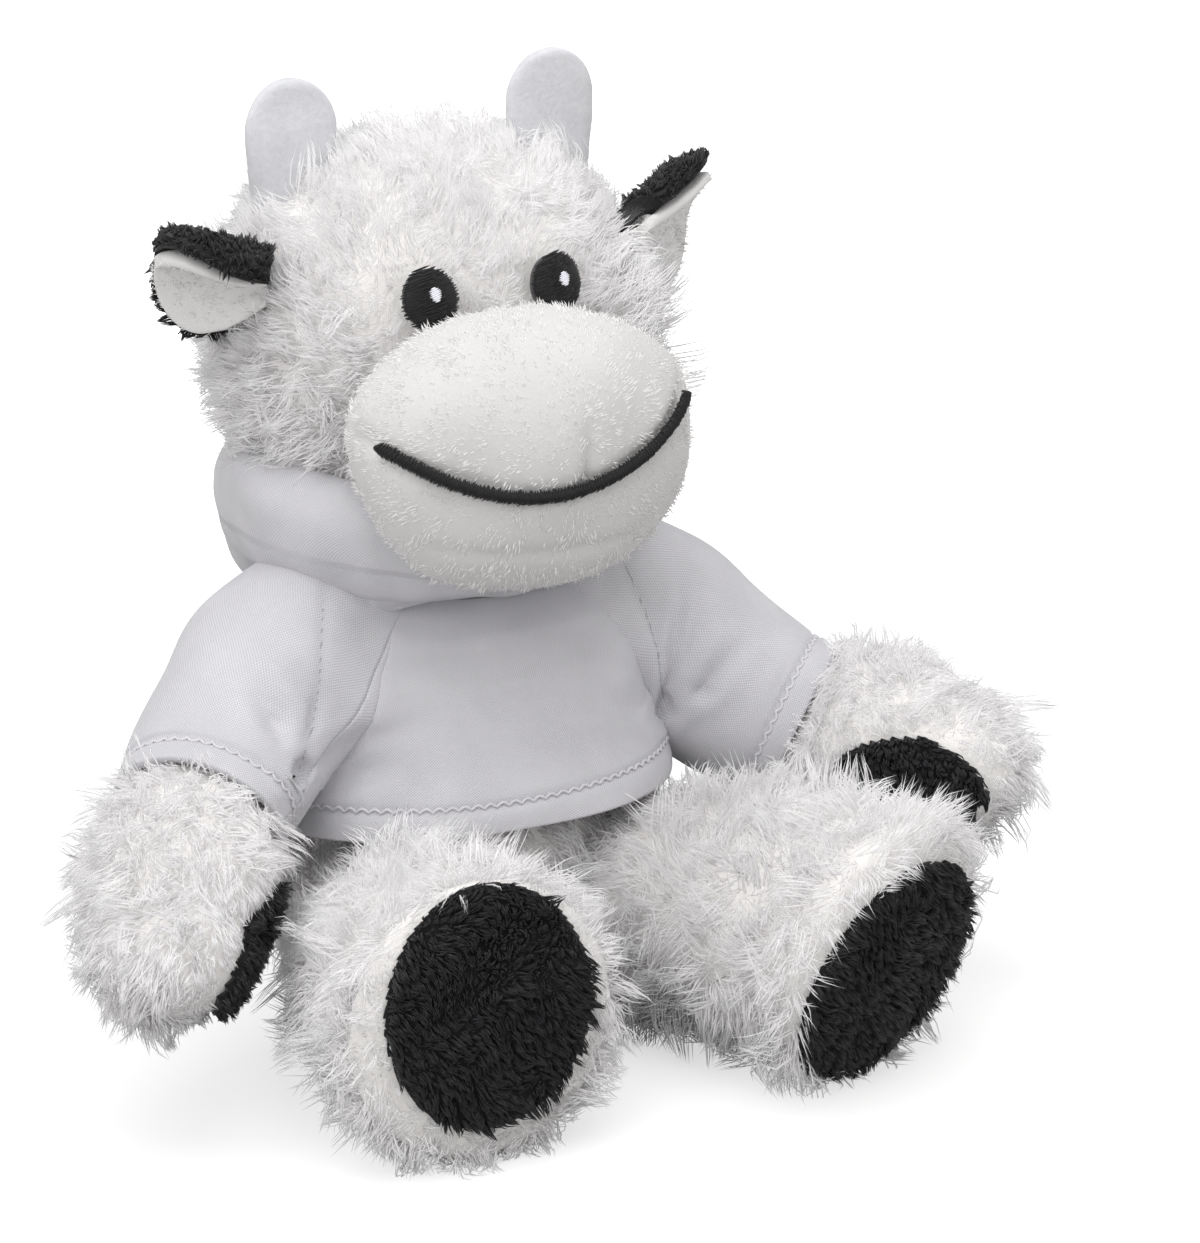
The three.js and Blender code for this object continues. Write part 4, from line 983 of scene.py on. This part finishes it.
for side, hand in SIDES:
    top = HEAD_HALF["up"] * third(HEAD_POWER, 22.4 / HEAD_HALF["side"], 3 / HEAD_HALF["back"])
    base = HEAD + vec(side * 22.4 + (0.5 + side * 0.5), 3, top + 0.35 + side * 0.35)
    lean = math.radians(1.5) * side
    up, across = vec(math.sin(lean), 0, math.cos(lean)), vec(math.cos(lean), 0, -math.sin(lean))
    share = 0.6 + 0.4 * np.sin(np.linspace(0, np.pi / 2, 26)[1:-1])
    share = np.concatenate([np.linspace(0, 0.6, 24), share])
    tip = np.sqrt(np.clip(1 - ((share - 0.62) / 0.38) ** 2, 0, 1))
    width = np.where(share < 0.62, 0.9 + 0.1 * ease(share / 0.5), tip) * HORN_HALF
    thick = 1.45 * np.clip(width / 4, 0.25, 1) ** 0.4
    flat, edge = rounded(np.cos(circle(56)), 0.75), rounded(np.sin(circle(56)), 0.6)
    below = base - up * HORN_SUNK
    bend = 0.5 * np.sin(share * 3) * side
    rings = (below + up * (share * HORN_LENGTH)[:, None] + vec(0, 1, 0) * bend[:, None])[:, None] + (
        (width[:, None] * flat)[..., None] * across + (thick[:, None] * edge)[..., None] * vec(0, 1, 0))
    verts, faces = capped(rings, rings[0].mean(0), below + up * HORN_LENGTH)
    verts = verts + 0.05 * ripple(verts, 7, 90 + side)
    dress(mesh(f"{hand}_horn_felt", verts, outward(verts, faces)), FELT, f"{hand}_horn_felt",
          [f"{hand}_horn"])
print("two horns of", HORN_LENGTH, "mm")

# %% [markdown]
# ## Ears
# An ear is a leaf of black plush with a smaller leaf of white plush in front of it. Both are
# cupped: across the leaf the surface is an arc that tightens at the top, so the black back rolls
# over and shows above the lining's thick white lip.

# %% Ears
EAR_LENGTHS = [0, 0.14, 0.32, 0.52, 0.72, 0.88, 0.97]
EAR_GIRTHS = [0.5, 0.7, 0.9, 1, 0.97, 0.76, 0.44]
EAR_TURNS = {-1: (25, 8, 36), 1: (38, 1, 18)}
EAR_ROLLS = {-1: (1.1, 2.2), 1: (0.8, 1.5)}


def turned(v, axis, angle):
    """Rodrigues: v cos + (axis x v) sin + axis (axis . v)(1 - cos)."""
    return v * np.cos(angle) + np.cross(axis, v) * np.sin(angle) + axis * (axis @ v) * (1 - np.cos(angle))


def ear_frame(side):
    """The ear's root on the head, and its directions: outwards, up and the way its hollow faces."""
    sweep, lift, tip = np.radians(EAR_TURNS[side])
    out = vec(side * np.cos(sweep) * np.cos(lift), np.sin(sweep) * np.cos(lift), np.sin(lift))
    up = unit(vec(0, 0, 1) - out * out[2])
    face = np.cross(out, up) * side
    wide = HEAD_HALF["side"] * third(HEAD_POWER, 15 / HEAD_HALF["up"], 7 / HEAD_HALF["front"])
    base = HEAD + vec(side * wide, -7, 15)
    return base, out, turned(up, out, tip * side), turned(face, out, tip * side)


def ear_leaf(side, size, near, far, rows=40, cols=48):
    """Arc across: up R sin a + face R (1 - cos a), at two depths, closed round the edge. The upper
    half turns by more radians at the root than at the tip, so the leaf is rolled over its own top."""
    base, out, up, face = ear_frame(side)
    share = 0.9 + 0.1 * np.sin(np.linspace(0, np.pi / 2, 8)[1:])
    share = np.concatenate([np.linspace(0, 0.9, rows), share])
    girth = np.interp(share, EAR_LENGTHS + [1.0], EAR_GIRTHS + [0.0])
    girth = np.where(share > 0.55, np.sqrt(np.clip(1 - ((share - 0.55) / 0.45) ** 2, 0, 1)), girth)
    w = np.cos(circle(cols))
    depth = (near + far) / 2 + (far - near) / 2 * rounded(np.sin(circle(cols)), 0.5)
    tip, root = EAR_ROLLS[side]
    roll = tip + (root - tip) * (1 - share[:, None]) ** 1.2
    turn = np.where(w > 0, w * roll, w * 0.85)
    half = np.where(w > 0, 13.6, 13.2) * size * np.maximum(girth, 0.02)[:, None]
    radius = half / np.where(w > 0, roll, 0.85)
    centre = base - out * 3 + out * (share * 18)[:, None]
    rings = centre[:, None] + (((radius - depth) * np.sin(turn))[..., None] * up
                               + (radius - (radius - depth) * np.cos(turn))[..., None] * face)
    verts, faces = capped(rings, rings[0].mean(0), rings[-1].mean(0))
    return verts, outward(verts, faces)


def one_side(surface, front, cols=48):
    """The faces of a leaf on its front or its back: the columns before or after half way round."""
    verts, faces = surface
    column = faces[0] % cols
    kept = (column <= cols // 2 + 1) if front else (column >= cols // 2 - 1) | (column == 0)
    return verts, [faces[0][kept.all(1)]]


for side, hand in SIDES:
    ear, lay = f"{hand}_ear", one_way(*ear_frame(side)[1])
    back, lining = ear_leaf(side, 0.97, -2.6, 0), ear_leaf(side, 0.94, 0.25, 3.0)
    dress(mesh(f"{ear}_backing", *back), BLACK_BACKING, ear, [f"{ear}_back"])
    dress(mesh(f"{ear}_lining_backing", *lining), PAINTED_SHADE_EAR_VELOUR, ear, [f"{ear}_lining"])
    fur = pile(f"{ear}_pile", one_side(back, False), 3600, 1.9, 0.14, lay, everywhere, 95 + side,
               each=9, lean=(0.3, 1.1), curl=0.4, swirl=1.6, pull=0.9, rings=2)
    dress(fur, BLACK_PILE, ear, [f"{ear}_back"])
    fur = pile(f"{ear}_lining_pile", one_side(lining, True), 1000, 1.4, 0.08, lay, everywhere, 99 + side,
               each=6, lean=(1.1, 1.45), pull=0.15, curl=0.05, swirl=0.3, rings=2)
    dress(fur, SHORT_PILE, ear, [f"{ear}_lining"])

# %% [markdown]
# ## Hoodie
# A short raglan top in fine jersey. The body is a tube round the torso and each sleeve is a tube
# along the arm that starts under the hood. Where they meet, both flow onto one smooth joined form
# with a narrow groove for the raglan seam. Folds run out of the armpits, where the cloth is pinched.

# %% Hoodie
SLEEVE_END, SLEEVE_LENGTH, SLEEVE_HEM = 0.365, 42, 4.2
BODY_HEM, BODY_HEM_RING = 4.4, 13
SLEEVE_RADII = [10, 13.8, 16.2, 15.6, 14.9, 13.9]
# Each fold: where it starts and ends, as seen from the camera or in 3-D, its width and its depth.
FOLDS = [
    ((-50, -24.8), (-52.3, -30.8), 1.1, 1.3), ((-50, -24.8), (-46.8, -12), 1.2, 1.1),
    ((-50, -24.5), (-57.8, -6.6), 1.8, 1.0), ((-50, -25), (-37, -17.5), 1.5, 1.5),
    ((-49, -26), (-31, -24), 2.0, 0.9), ((-54, -16), (-64, -4), 2.2, 0.6),
    ((10.6, -14.7), (13.8, 7), 0.95, 1.6), ((11, -15.5), (18.1, -10.7), 1.1, 1.6),
    ((17, -11.5), (25, -2), 1.6, 0.9), ((11, -15), (16.5, 0), 1.3, 0.9),
    ((10, -14), (2.5, 1), 1.5, 1.1), ((9.5, -15), (-3, -13), 1.7, 0.7),
]
BACK_FOLDS = [
    ((-30, 26, 52), (-8, 38, 60), 2.6, 1.3), ((30, 26, 52), (10, 38, 46), 2.6, 1.3),
    ((-36, 14, 54), (-44, 6, 66), 2.2, 1.2), ((36, 14, 54), (44, 6, 66), 2.2, 1.2),
]
RAGLANS = [vec([-45.8, 6.1], [-46.5, -9.7], [-47.7, -17.7], [-50, -24.8]),
           vec([4.2, 9.4], [7.6, 1.4], [9.6, -5.1], [10.6, -14])]


def beside(points, first, last):
    """Distance from a line and the share of its length at the nearest point."""
    first, run = vec(*first), vec(*last) - vec(*first)
    t = np.clip((points - first) @ run / (run @ run), 0, 1)
    return np.linalg.norm(points - (first + t[:, None] * run), axis=1), t


def crease(points, first, last, width, depth):
    """-exp(-(d/w)^2) beside a line with a ridge 0.6 exp(-((d - 2w)/w)^2), fading along it."""
    gap, t = beside(points, first, last)
    ridge = 0.6 * np.exp(-(((gap - 2 * width) / width) ** 2))
    return depth * (1 - t) ** 0.7 * (ridge - np.exp(-((gap / width) ** 2)))


def raglan(points, out):
    """Distance from the raglan seams as seen; 50 is added where the cloth faces away."""
    flat = seen(points)
    gaps = [beside(flat, a, b)[0] for line in RAGLANS for a, b in zip(line[:-1], line[1:])]
    return np.min(gaps, axis=0) + 50 * (out @ VIEW_BACK < 0.05)


def body_side(points, out):
    """Signed distance as seen from the raglan seam, positive on the body; 0 where it faces away."""
    flat = seen(points)
    right, left = (np.interp(flat[:, 1], line[::-1, 1], line[::-1, 0]) for line in RAGLANS)
    return np.where(flat[:, 0] < -20, flat[:, 0] - right, left - flat[:, 0]) * (out @ VIEW_BACK > 0)


def folded(points, out):
    """Folds as a distance along the normals: those in front where they are seen, those behind in 3-D."""
    front = ease(out @ VIEW_BACK / 0.35) * ease((points[:, 2] - 38) / 6)
    flat = seen(points)
    seam = -0.3 * np.exp(-((raglan(points, out) / 0.7) ** 2))
    fore = np.clip(sum(crease(flat, *fold) for fold in FOLDS), -1.3, 0.6)
    behind = sum(crease(points, *fold) for fold in BACK_FOLDS)
    return fore * front + behind + 0.35 * ripple(points, 26, 4)[:, 0] + seam


def sleeve_line(side):
    """Under the hood, over the shoulder, then the arm's own path to the sleeve's end."""
    own = path(arm_path(side), np.linspace(0.06, SLEEVE_END + 0.02, 4))
    return np.concatenate([[vec(side * 12, 7, 73), vec(side * 21, 5, 69.5)], own])


def off_body(points):
    """About how far a point lies outside the hoodie's body."""
    out, narrow = torso_oval(points, hem_flare(torso_share(points)) + KNIT_OUT)
    return (out - 1) * narrow


def cloth_field(points):
    """Smooth union of the body's and both sleeves' distances: min(a, b) - h^2 k / 4, where
    h = max(k - |a - b|, 0) / k and k grows from the armpit up."""
    reach = 3 + 9 * ease((points[:, 2] - 51) / 9)
    field = off_body(points)
    for side, _ in SIDES:
        other = near_path(points, sleeve_line(side), SLEEVE_RADII)[0]
        h = np.clip(reach - np.abs(field - other), 0, None) / reach
        field = np.minimum(field, other) - h * h * reach / 4
    return field


def slope(points):
    """The field's gradient by differences over 0.4 mm."""
    steps = np.eye(3) * 0.2
    return np.stack([cloth_field(points + k) - cloth_field(points - k) for k in steps], -1) / 0.4


def onto_cloth(rings, out, inside, under):
    """Points flow along the gradient onto the field, at most 0.6 mm a step so that they don't cross.
    Those that began more than `under` inside the other tube stay on their own, out of sight below the
    joined cloth."""
    shape = rings.shape
    points, out = rings.reshape(-1, 3), out.reshape(-1, 3).copy()
    hold = (1 - ease((inside - under) / 2)) * ease((points[:, 2] - 44) / 5)
    flow = np.where((hold > 0) & (np.abs(cloth_field(points)) > 0.02))[0]
    moved = points.copy()
    hold = hold * ease((np.linalg.norm(slope(points), axis=1) - 0.45) / 0.3)
    for _ in range(12):
        g = slope(moved[flow])
        step = cloth_field(moved[flow])[:, None] * g / np.maximum((g * g).sum(-1, keepdims=True), 0.3)
        size = np.linalg.norm(step, axis=1, keepdims=True)
        moved[flow] -= step * np.minimum(1, 0.6 / np.maximum(size, 1e-6))
    shift = ((moved - points) * hold[:, None]).reshape(shape)
    for _ in range(4):
        ends = np.pad(shift, ((1, 1), (0, 0), (0, 0)), mode="edge")
        shift = (2 * shift + np.roll(shift, 1, 1) + np.roll(shift, -1, 1) + ends[2:] + ends[:-2]) / 6
    moved = points + shift.reshape(-1, 3)
    hold = hold[:, None]
    out = unit(out * (1 - hold) + unit(slope(moved)) * hold + 1e-6)
    sunk = out * 0.15 * ease(inside + 1)[:, None] * (under > 0)
    return (moved - sunk).reshape(shape), out


def tube_sheet(name, rings, out, uv, kept):
    """An open tube of cloth: rings joined round where the points stay, thickened inwards. uv gives its
    length round and along in mm."""
    rows, cols = rings.shape[:2]
    uv = np.stack(np.meshgrid(np.linspace(0, uv[0], cols + 1), uv[1] * np.linspace(0, 1, rows)), -1)
    closed = np.concatenate([rings, rings[:, :1]], 1)
    r, c = np.meshgrid(np.arange(rows - 1), np.arange(cols), indexing="ij")
    a = r * (cols + 1) + c
    quads = np.stack([a, a + 1, a + cols + 2, a + cols + 1], -1).reshape(-1, 4)
    quads = quads[np.concatenate([kept, kept[:, :1]], 1).ravel()[quads].all(1)]
    used, quads = np.unique(quads, return_inverse=True)
    points = closed.reshape(-1, 3)[used]
    obj = mesh(name, points, [quads.reshape(-1, 4)], uv=uv.reshape(-1, 2)[used])
    seam = 100 + raglan(points, np.concatenate([out, out[:, :1]], 1).reshape(-1, 3)[used])
    obj.data.attributes.new("seam", "FLOAT", "POINT").data.foreach_set("value", seam)
    return thicken(obj)


def grid_normals(rings):
    """Cross products of the differences along and round the rings."""
    down = np.gradient(rings, axis=0)
    turn = np.roll(rings, -1, 1) - np.roll(rings, 1, 1)
    return unit(np.cross(turn, down))


def hem_groove(away):
    """The groove where a hem is sewn, by the distance from it along the cloth."""
    return -0.45 * np.exp(-((away / 0.8) ** 2))


def hem_height(angle):
    """The hem dips a little at the cow's right and rises in front."""
    return 39.2 - 1.6 * np.sin(angle) + 1.2 * np.cos(angle)


def hoodie_ring(rise, angle):
    """Height z from the hem to the collar, on the torso's form under the cloth."""
    low = hem_height(angle)
    z = low + rise * (72.5 - low)
    share = (z + 0.5) / (TORSO_HEIGHT + 0.5)
    girth = along(np.interp(np.linspace(0, 1, 24), TORSO_RISE, TORSO_GIRTH), share)
    out = hem_flare(share) + KNIT_OUT - 0.9 * (1 - rise) ** 12
    return np.stack([(girth * TORSO_SIDE + out) * np.cos(angle),
                     share * TORSO_LEAN + (girth * TORSO_DEPTH + out) * np.sin(angle), z], -1)


def stitches(name, rings, out, row, shown, pitch=2.05, lift=0.16, radius=0.27, amp=0.6):
    """A thread along one ring: offset across the ring by amp |sin(pi s / pitch)|."""
    line, normal = rings[row], out[row]
    across = unit(rings[row + 2] - rings[row - 2])
    length = lengths(line)
    total = length[-1] + np.linalg.norm(line[0] - line[-1])
    count = int(round(total / pitch))
    s = np.linspace(0, total, count * 8, endpoint=False)
    spread = lambda v: np.interp(s, np.append(length, total), np.append(v, v[0]))
    line, normal, across = (np.stack([spread(v[:, k]) for k in range(3)], -1) for v in (line, normal, across))
    normal = unit(normal)
    beat = np.abs(np.sin(np.pi * s / total * count))
    points = line + unit(across) * (amp * beat)[:, None] + normal * (lift + 0.12 * beat)[:, None]
    run = unit(np.roll(points, -1, 0) - np.roll(points, 1, 0))
    side = unit(np.cross(run, normal))
    verts = ringed(points, side, np.cross(side, run), radius, radius, circle(5)).reshape(-1, 3)
    seen_at = spread(shown[row].astype(float)) > 0.99
    return mesh(name, verts, [ring_faces(len(points), 5, True)[np.repeat(seen_at, 5)]])


rise = np.linspace(0, 1, 100)[:, None]
angle = circle(260)[None]
rings = hoodie_ring(rise + 0 * angle, angle + 0 * rise)
out = grid_normals(rings)
out = out * np.sign((out[..., :2] * (rings[..., :2] - vec(0, 6))).sum(-1, keepdims=True))
flat = rings.reshape(-1, 3)
inside = -np.min([near_path(flat, sleeve_line(side), SLEEVE_RADII)[0] for side, _ in SIDES], axis=0)
rings, out = onto_cloth(rings, out, inside, 1.5)
flat = rings.reshape(-1, 3)
push = folded(flat, out)
out = out.reshape(rings.shape)
groove = hem_groove(rings[..., 2] - hem_height(angle) - BODY_HEM)
wave = 0.9 * np.sin(5 * angle + 0.8) * (1 - rise) ** 2
rings = rings + out * (push.reshape(rings.shape[:2]) + groove + wave)[..., None]
whole = np.ones(rings.shape[:2], bool)
dress(tube_sheet("hoodie_body", rings, out, (240, 40), whole), KNIT, "torso",
      ["hoodie_front", "hoodie_back"])
dress(stitches("hem_stitches", rings, out, BODY_HEM_RING, whole), HEM_THREAD, "torso")

for side, hand in SIDES:
    share = np.linspace(0, 1, 90)
    line = sleeve_line(side)
    centre = path(line, share)
    across, up = frame_along(unit(path(line, share + 0.005) - path(line, share - 0.005)), 0 * share)
    radius = along(SLEEVE_RADII, share)
    rings = ringed(centre, across, up, radius, radius, circle(130))
    grid, flat = rings.shape[:2], rings.reshape(-1, 3)
    out = unit(rings - centre[:, None]).reshape(-1, 3)
    inside = -off_body(flat)
    rings, out = onto_cloth(rings, out, inside, 0)
    flat = rings.reshape(-1, 3)
    push = folded(flat, out) - 0.25 * ease(body_side(flat, out) / 0.6)
    out = out.reshape(rings.shape)
    from_hem = (1 - share) * SLEEVE_LENGTH - SLEEVE_HEM
    rings = rings + out * (push.reshape(grid) + hem_groove(from_hem)[:, None])[..., None]
    inside = inside.reshape(grid)
    sleeve = tube_sheet(f"{hand}_sleeve_cloth", rings, out, (97, 45), inside < 6)
    sleeve.data.materials.append(KNIT)
    above, below = vec(side * 22, 4, 70) * MM, vec(side * 37, -3, 58) * MM
    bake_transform(sleeve)
    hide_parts(f"{hand}_sleeve")
    row = int(np.argmin(np.abs(from_hem)))
    hem = stitches(f"{hand}_sleeve_stitches", rings, out, row, inside < -3.5)
    dress(hem, HEM_THREAD, f"{hand}_arm")
print("hoodie's body and sleeves ready")

# %% [markdown]
# ## Hood
# The hood lies open: a thick roll of cloth round the neck, low under the chin, and a pouch
# that hangs at the back. A second, flatter roll under it is the collar that it is sewn to.

# %% Hood
def round_neck(sizes, angle):
    """A size at an angle: front or back by cos^2, side by sin^2."""
    front, side, back = sizes
    c, s = np.cos(angle), np.sin(angle)
    return np.where(c > 0, front, back) * c**2 + side * s**2


def roll_of_cloth(name, radii, heights, thick, tall, tilt, seed):
    """A closed ring: at each angle an oval, thick across and tall along a line tilted outwards."""
    angle, turn = circle(260)[:, None], circle(64)[None]
    out, up = np.stack([np.sin(angle), -np.cos(angle), 0 * angle], -1), vec(0, 0, 1)
    lean = np.radians(round_neck(tilt, angle))[..., None]
    rise = out * np.sin(lean) + up * np.cos(lean)
    flat = out * np.cos(lean) - up * np.sin(lean)
    centre = out * round_neck(radii, angle)[..., None] + up * round_neck(heights, angle)[..., None]
    centre = centre + vec(0, TORSO_LEAN, 0)
    rings = centre + flat * (round_neck(thick, angle) * np.cos(turn))[..., None] + rise * (
        round_neck(tall, angle) * rounded(np.sin(turn), 0.85))[..., None]
    points = rings.reshape(-1, 3)
    folds = 0.7 * ripple(points * vec(1, 1, 0.6), 30, seed)[:, 0] + 0.25 * ripple(points, 11, seed + 1)[:, 0]
    points = points + unit(rings - centre).reshape(-1, 3) * folds[:, None]
    uv = np.stack([angle * 33 + 0 * turn, turn * 9 + 0 * angle], -1).reshape(-1, 2)
    return mesh(name, points, outward(points, [ring_faces(260, 64, True)]), uv=uv)


# Radius, height, thickness, width and tilt, each in front, at the side and at the back.
ROLLS = {
    "hood_roll": ((22.5, 28.5, 32), (81.2, 85.5, 75), (5.6, 6.6, 7.5), (6.1, 10, 17.5), (18, 14, -6), 51),
    "hood_collar": ((16, 25.5, 29), (76, 78, 70), (4, 5.6, 6), (3, 5, 8), (30, 30, 0), 57),
}
for name, sizes in ROLLS.items():
    dress(roll_of_cloth(name, *sizes), KNIT, "torso", ["hood"])
print("hood ready")

# %% [markdown]
# ## Tail
# A sewn cord of white pile ends in a black tuft. It leaves the back of the seat and curves down.

# %% Tail
TAIL = vec([0, 29.34, 16], [0, 35.1, 15.1], [0, 41.4, 12.4], [0, 45.9, 10.6])
cord = limb(TAIL, [1.5] * 4, depths=(1, 1), cols=24)
dress(mesh("tail_backing", *cord), PAINTED_SHADE_BACKING, "tail")
fur = pile("tail_pile", cord, 1800, 3.4, 0.14, one_way(0, 1, -0.5), everywhere, 111, each=8, rings=2)
dress(fur, WHITE_PILE, "tail", ["tail_cord"])
tuft = limb(TAIL[-1] + vec([0, 0, 0], [0, 5, 0], [0, 10, 0]), [2.6, 4, 2], depths=(1.5, 2), cols=30)
dress(mesh("tail_tuft_backing", *tuft), BLACK_BACKING, "tail")
fur = pile("tail_tuft_pile", tuft, 2000, 4.5, 0.15, one_way(0, 1, -0.4), everywhere, 115, each=8)
dress(fur, BLACK_PILE, "tail", ["tail_tuft"])

# %% [markdown]
# ## Hidden solids and the frame's own nodes
# The neck's filling and the pellet bag stay CAD solids: no one sees them. They still get a
# cloth material.

# %% Nodes that stay
for name in ("neck_stuffing", "pellet_bag"):
    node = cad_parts[name]
    node.data.materials.clear()
    node.data.materials.append(PAINTED_SHADE_BACKING)
print("two hidden solids get a material")

# %% [markdown]
# ## Floor, light and camera
# The toy sits on a white floor in soft overhead light, a little from the left, as in a catalogue
# picture. The floor adds white only for the camera, so it reads white but keeps the shadow.

# %% Stage
floor = mesh("floor", 2500 * vec([-1, -1, 0], [1, -1, 0], [1, 1, 0], [-1, 1, 0]), [np.array([[0, 1, 2, 3]])])
paper, tree, shader = start("white paper", "#f2f2f2", 1.0, 0.0, 0.0)
shader.inputs["Base Color"].default_value = (0.45, 0.45, 0.45, 1)
place = add(tree, "ShaderNodeTexCoord")
away = add(tree, "ShaderNodeVectorMath", {0: place.outputs["Object"]}, operation="LENGTH")
fade = add(tree, "ShaderNodeMapRange", {"Value": away.outputs["Value"]}, From_Min=0.12, From_Max=0.45,
           To_Min=0.62, To_Max=1.1)
to_camera = add(tree, "ShaderNodeLightPath").outputs["Is Camera Ray"]
level = maths(tree, "MULTIPLY", to_camera, fade.outputs["Result"])
glow = add(tree, "ShaderNodeEmission", {"Strength": level}, Color=(1, 1, 1, 1))
both = add(tree, "ShaderNodeAddShader", {0: shader.outputs[0], 1: glow.outputs[0]})
tree.links.new(both.outputs[0], tree.nodes["Material Output"].inputs["Surface"])
floor.data.materials.append(paper)

world = bpy.data.worlds.new("studio")
bpy.context.scene.world = world
world.use_nodes = True
tree = world.node_tree
sky = tree.nodes["Background"]
sky.inputs["Color"].default_value = (1.0, 0.99, 0.985, 1)
sky.inputs["Strength"].default_value = 0.76
white = add(tree, "ShaderNodeBackground", Color=(1, 1, 1, 1), Strength=1.05)
to_camera = add(tree, "ShaderNodeLightPath").outputs["Is Camera Ray"]
pick = add(tree, "ShaderNodeMixShader", {0: to_camera, 1: sky.outputs[0], 2: white.outputs[0]})
tree.links.new(pick.outputs[0], tree.nodes["World Output"].inputs["Surface"])


def soft_light(name, place, target, size, power):
    """A square area light that faces a point."""
    data = bpy.data.lights.new(name, "AREA")
    data.size, data.energy = size, power
    obj = bpy.data.objects.new(name, data)
    bpy.context.scene.collection.objects.link(obj)
    obj.location = place
    aim = np.array(target) - np.array(place)
    obj.rotation_euler = Vector(aim).to_track_quat("-Z", "Y").to_euler()


soft_light("overhead softbox", (-0.15, -0.15, 0.9), (0, 0, 0.06), 0.7, 4.3)
soft_light("left softbox", (-0.75, -0.5, 0.55), (0, 0, 0.08), 0.5, 2.9)
soft_light("right fill", (0.7, -0.7, 0.35), (0, 0, 0.08), 0.6, 1.3)

camera = bpy.data.objects.new("camera", bpy.data.cameras.new("camera"))
bpy.context.scene.collection.objects.link(camera)
camera.data.sensor_fit = "VERTICAL"
camera.data.sensor_height = 36
camera.data.lens = 130.9
stand = np.eye(4)
stand[:3, :4] = np.column_stack([VIEW_RIGHT, VIEW_UP, VIEW_BACK, VIEW_FROM * MM])
camera.matrix_world = Matrix(stand.tolist())
bpy.context.scene.camera = camera
bpy.context.scene.view_settings.view_transform = "Standard"
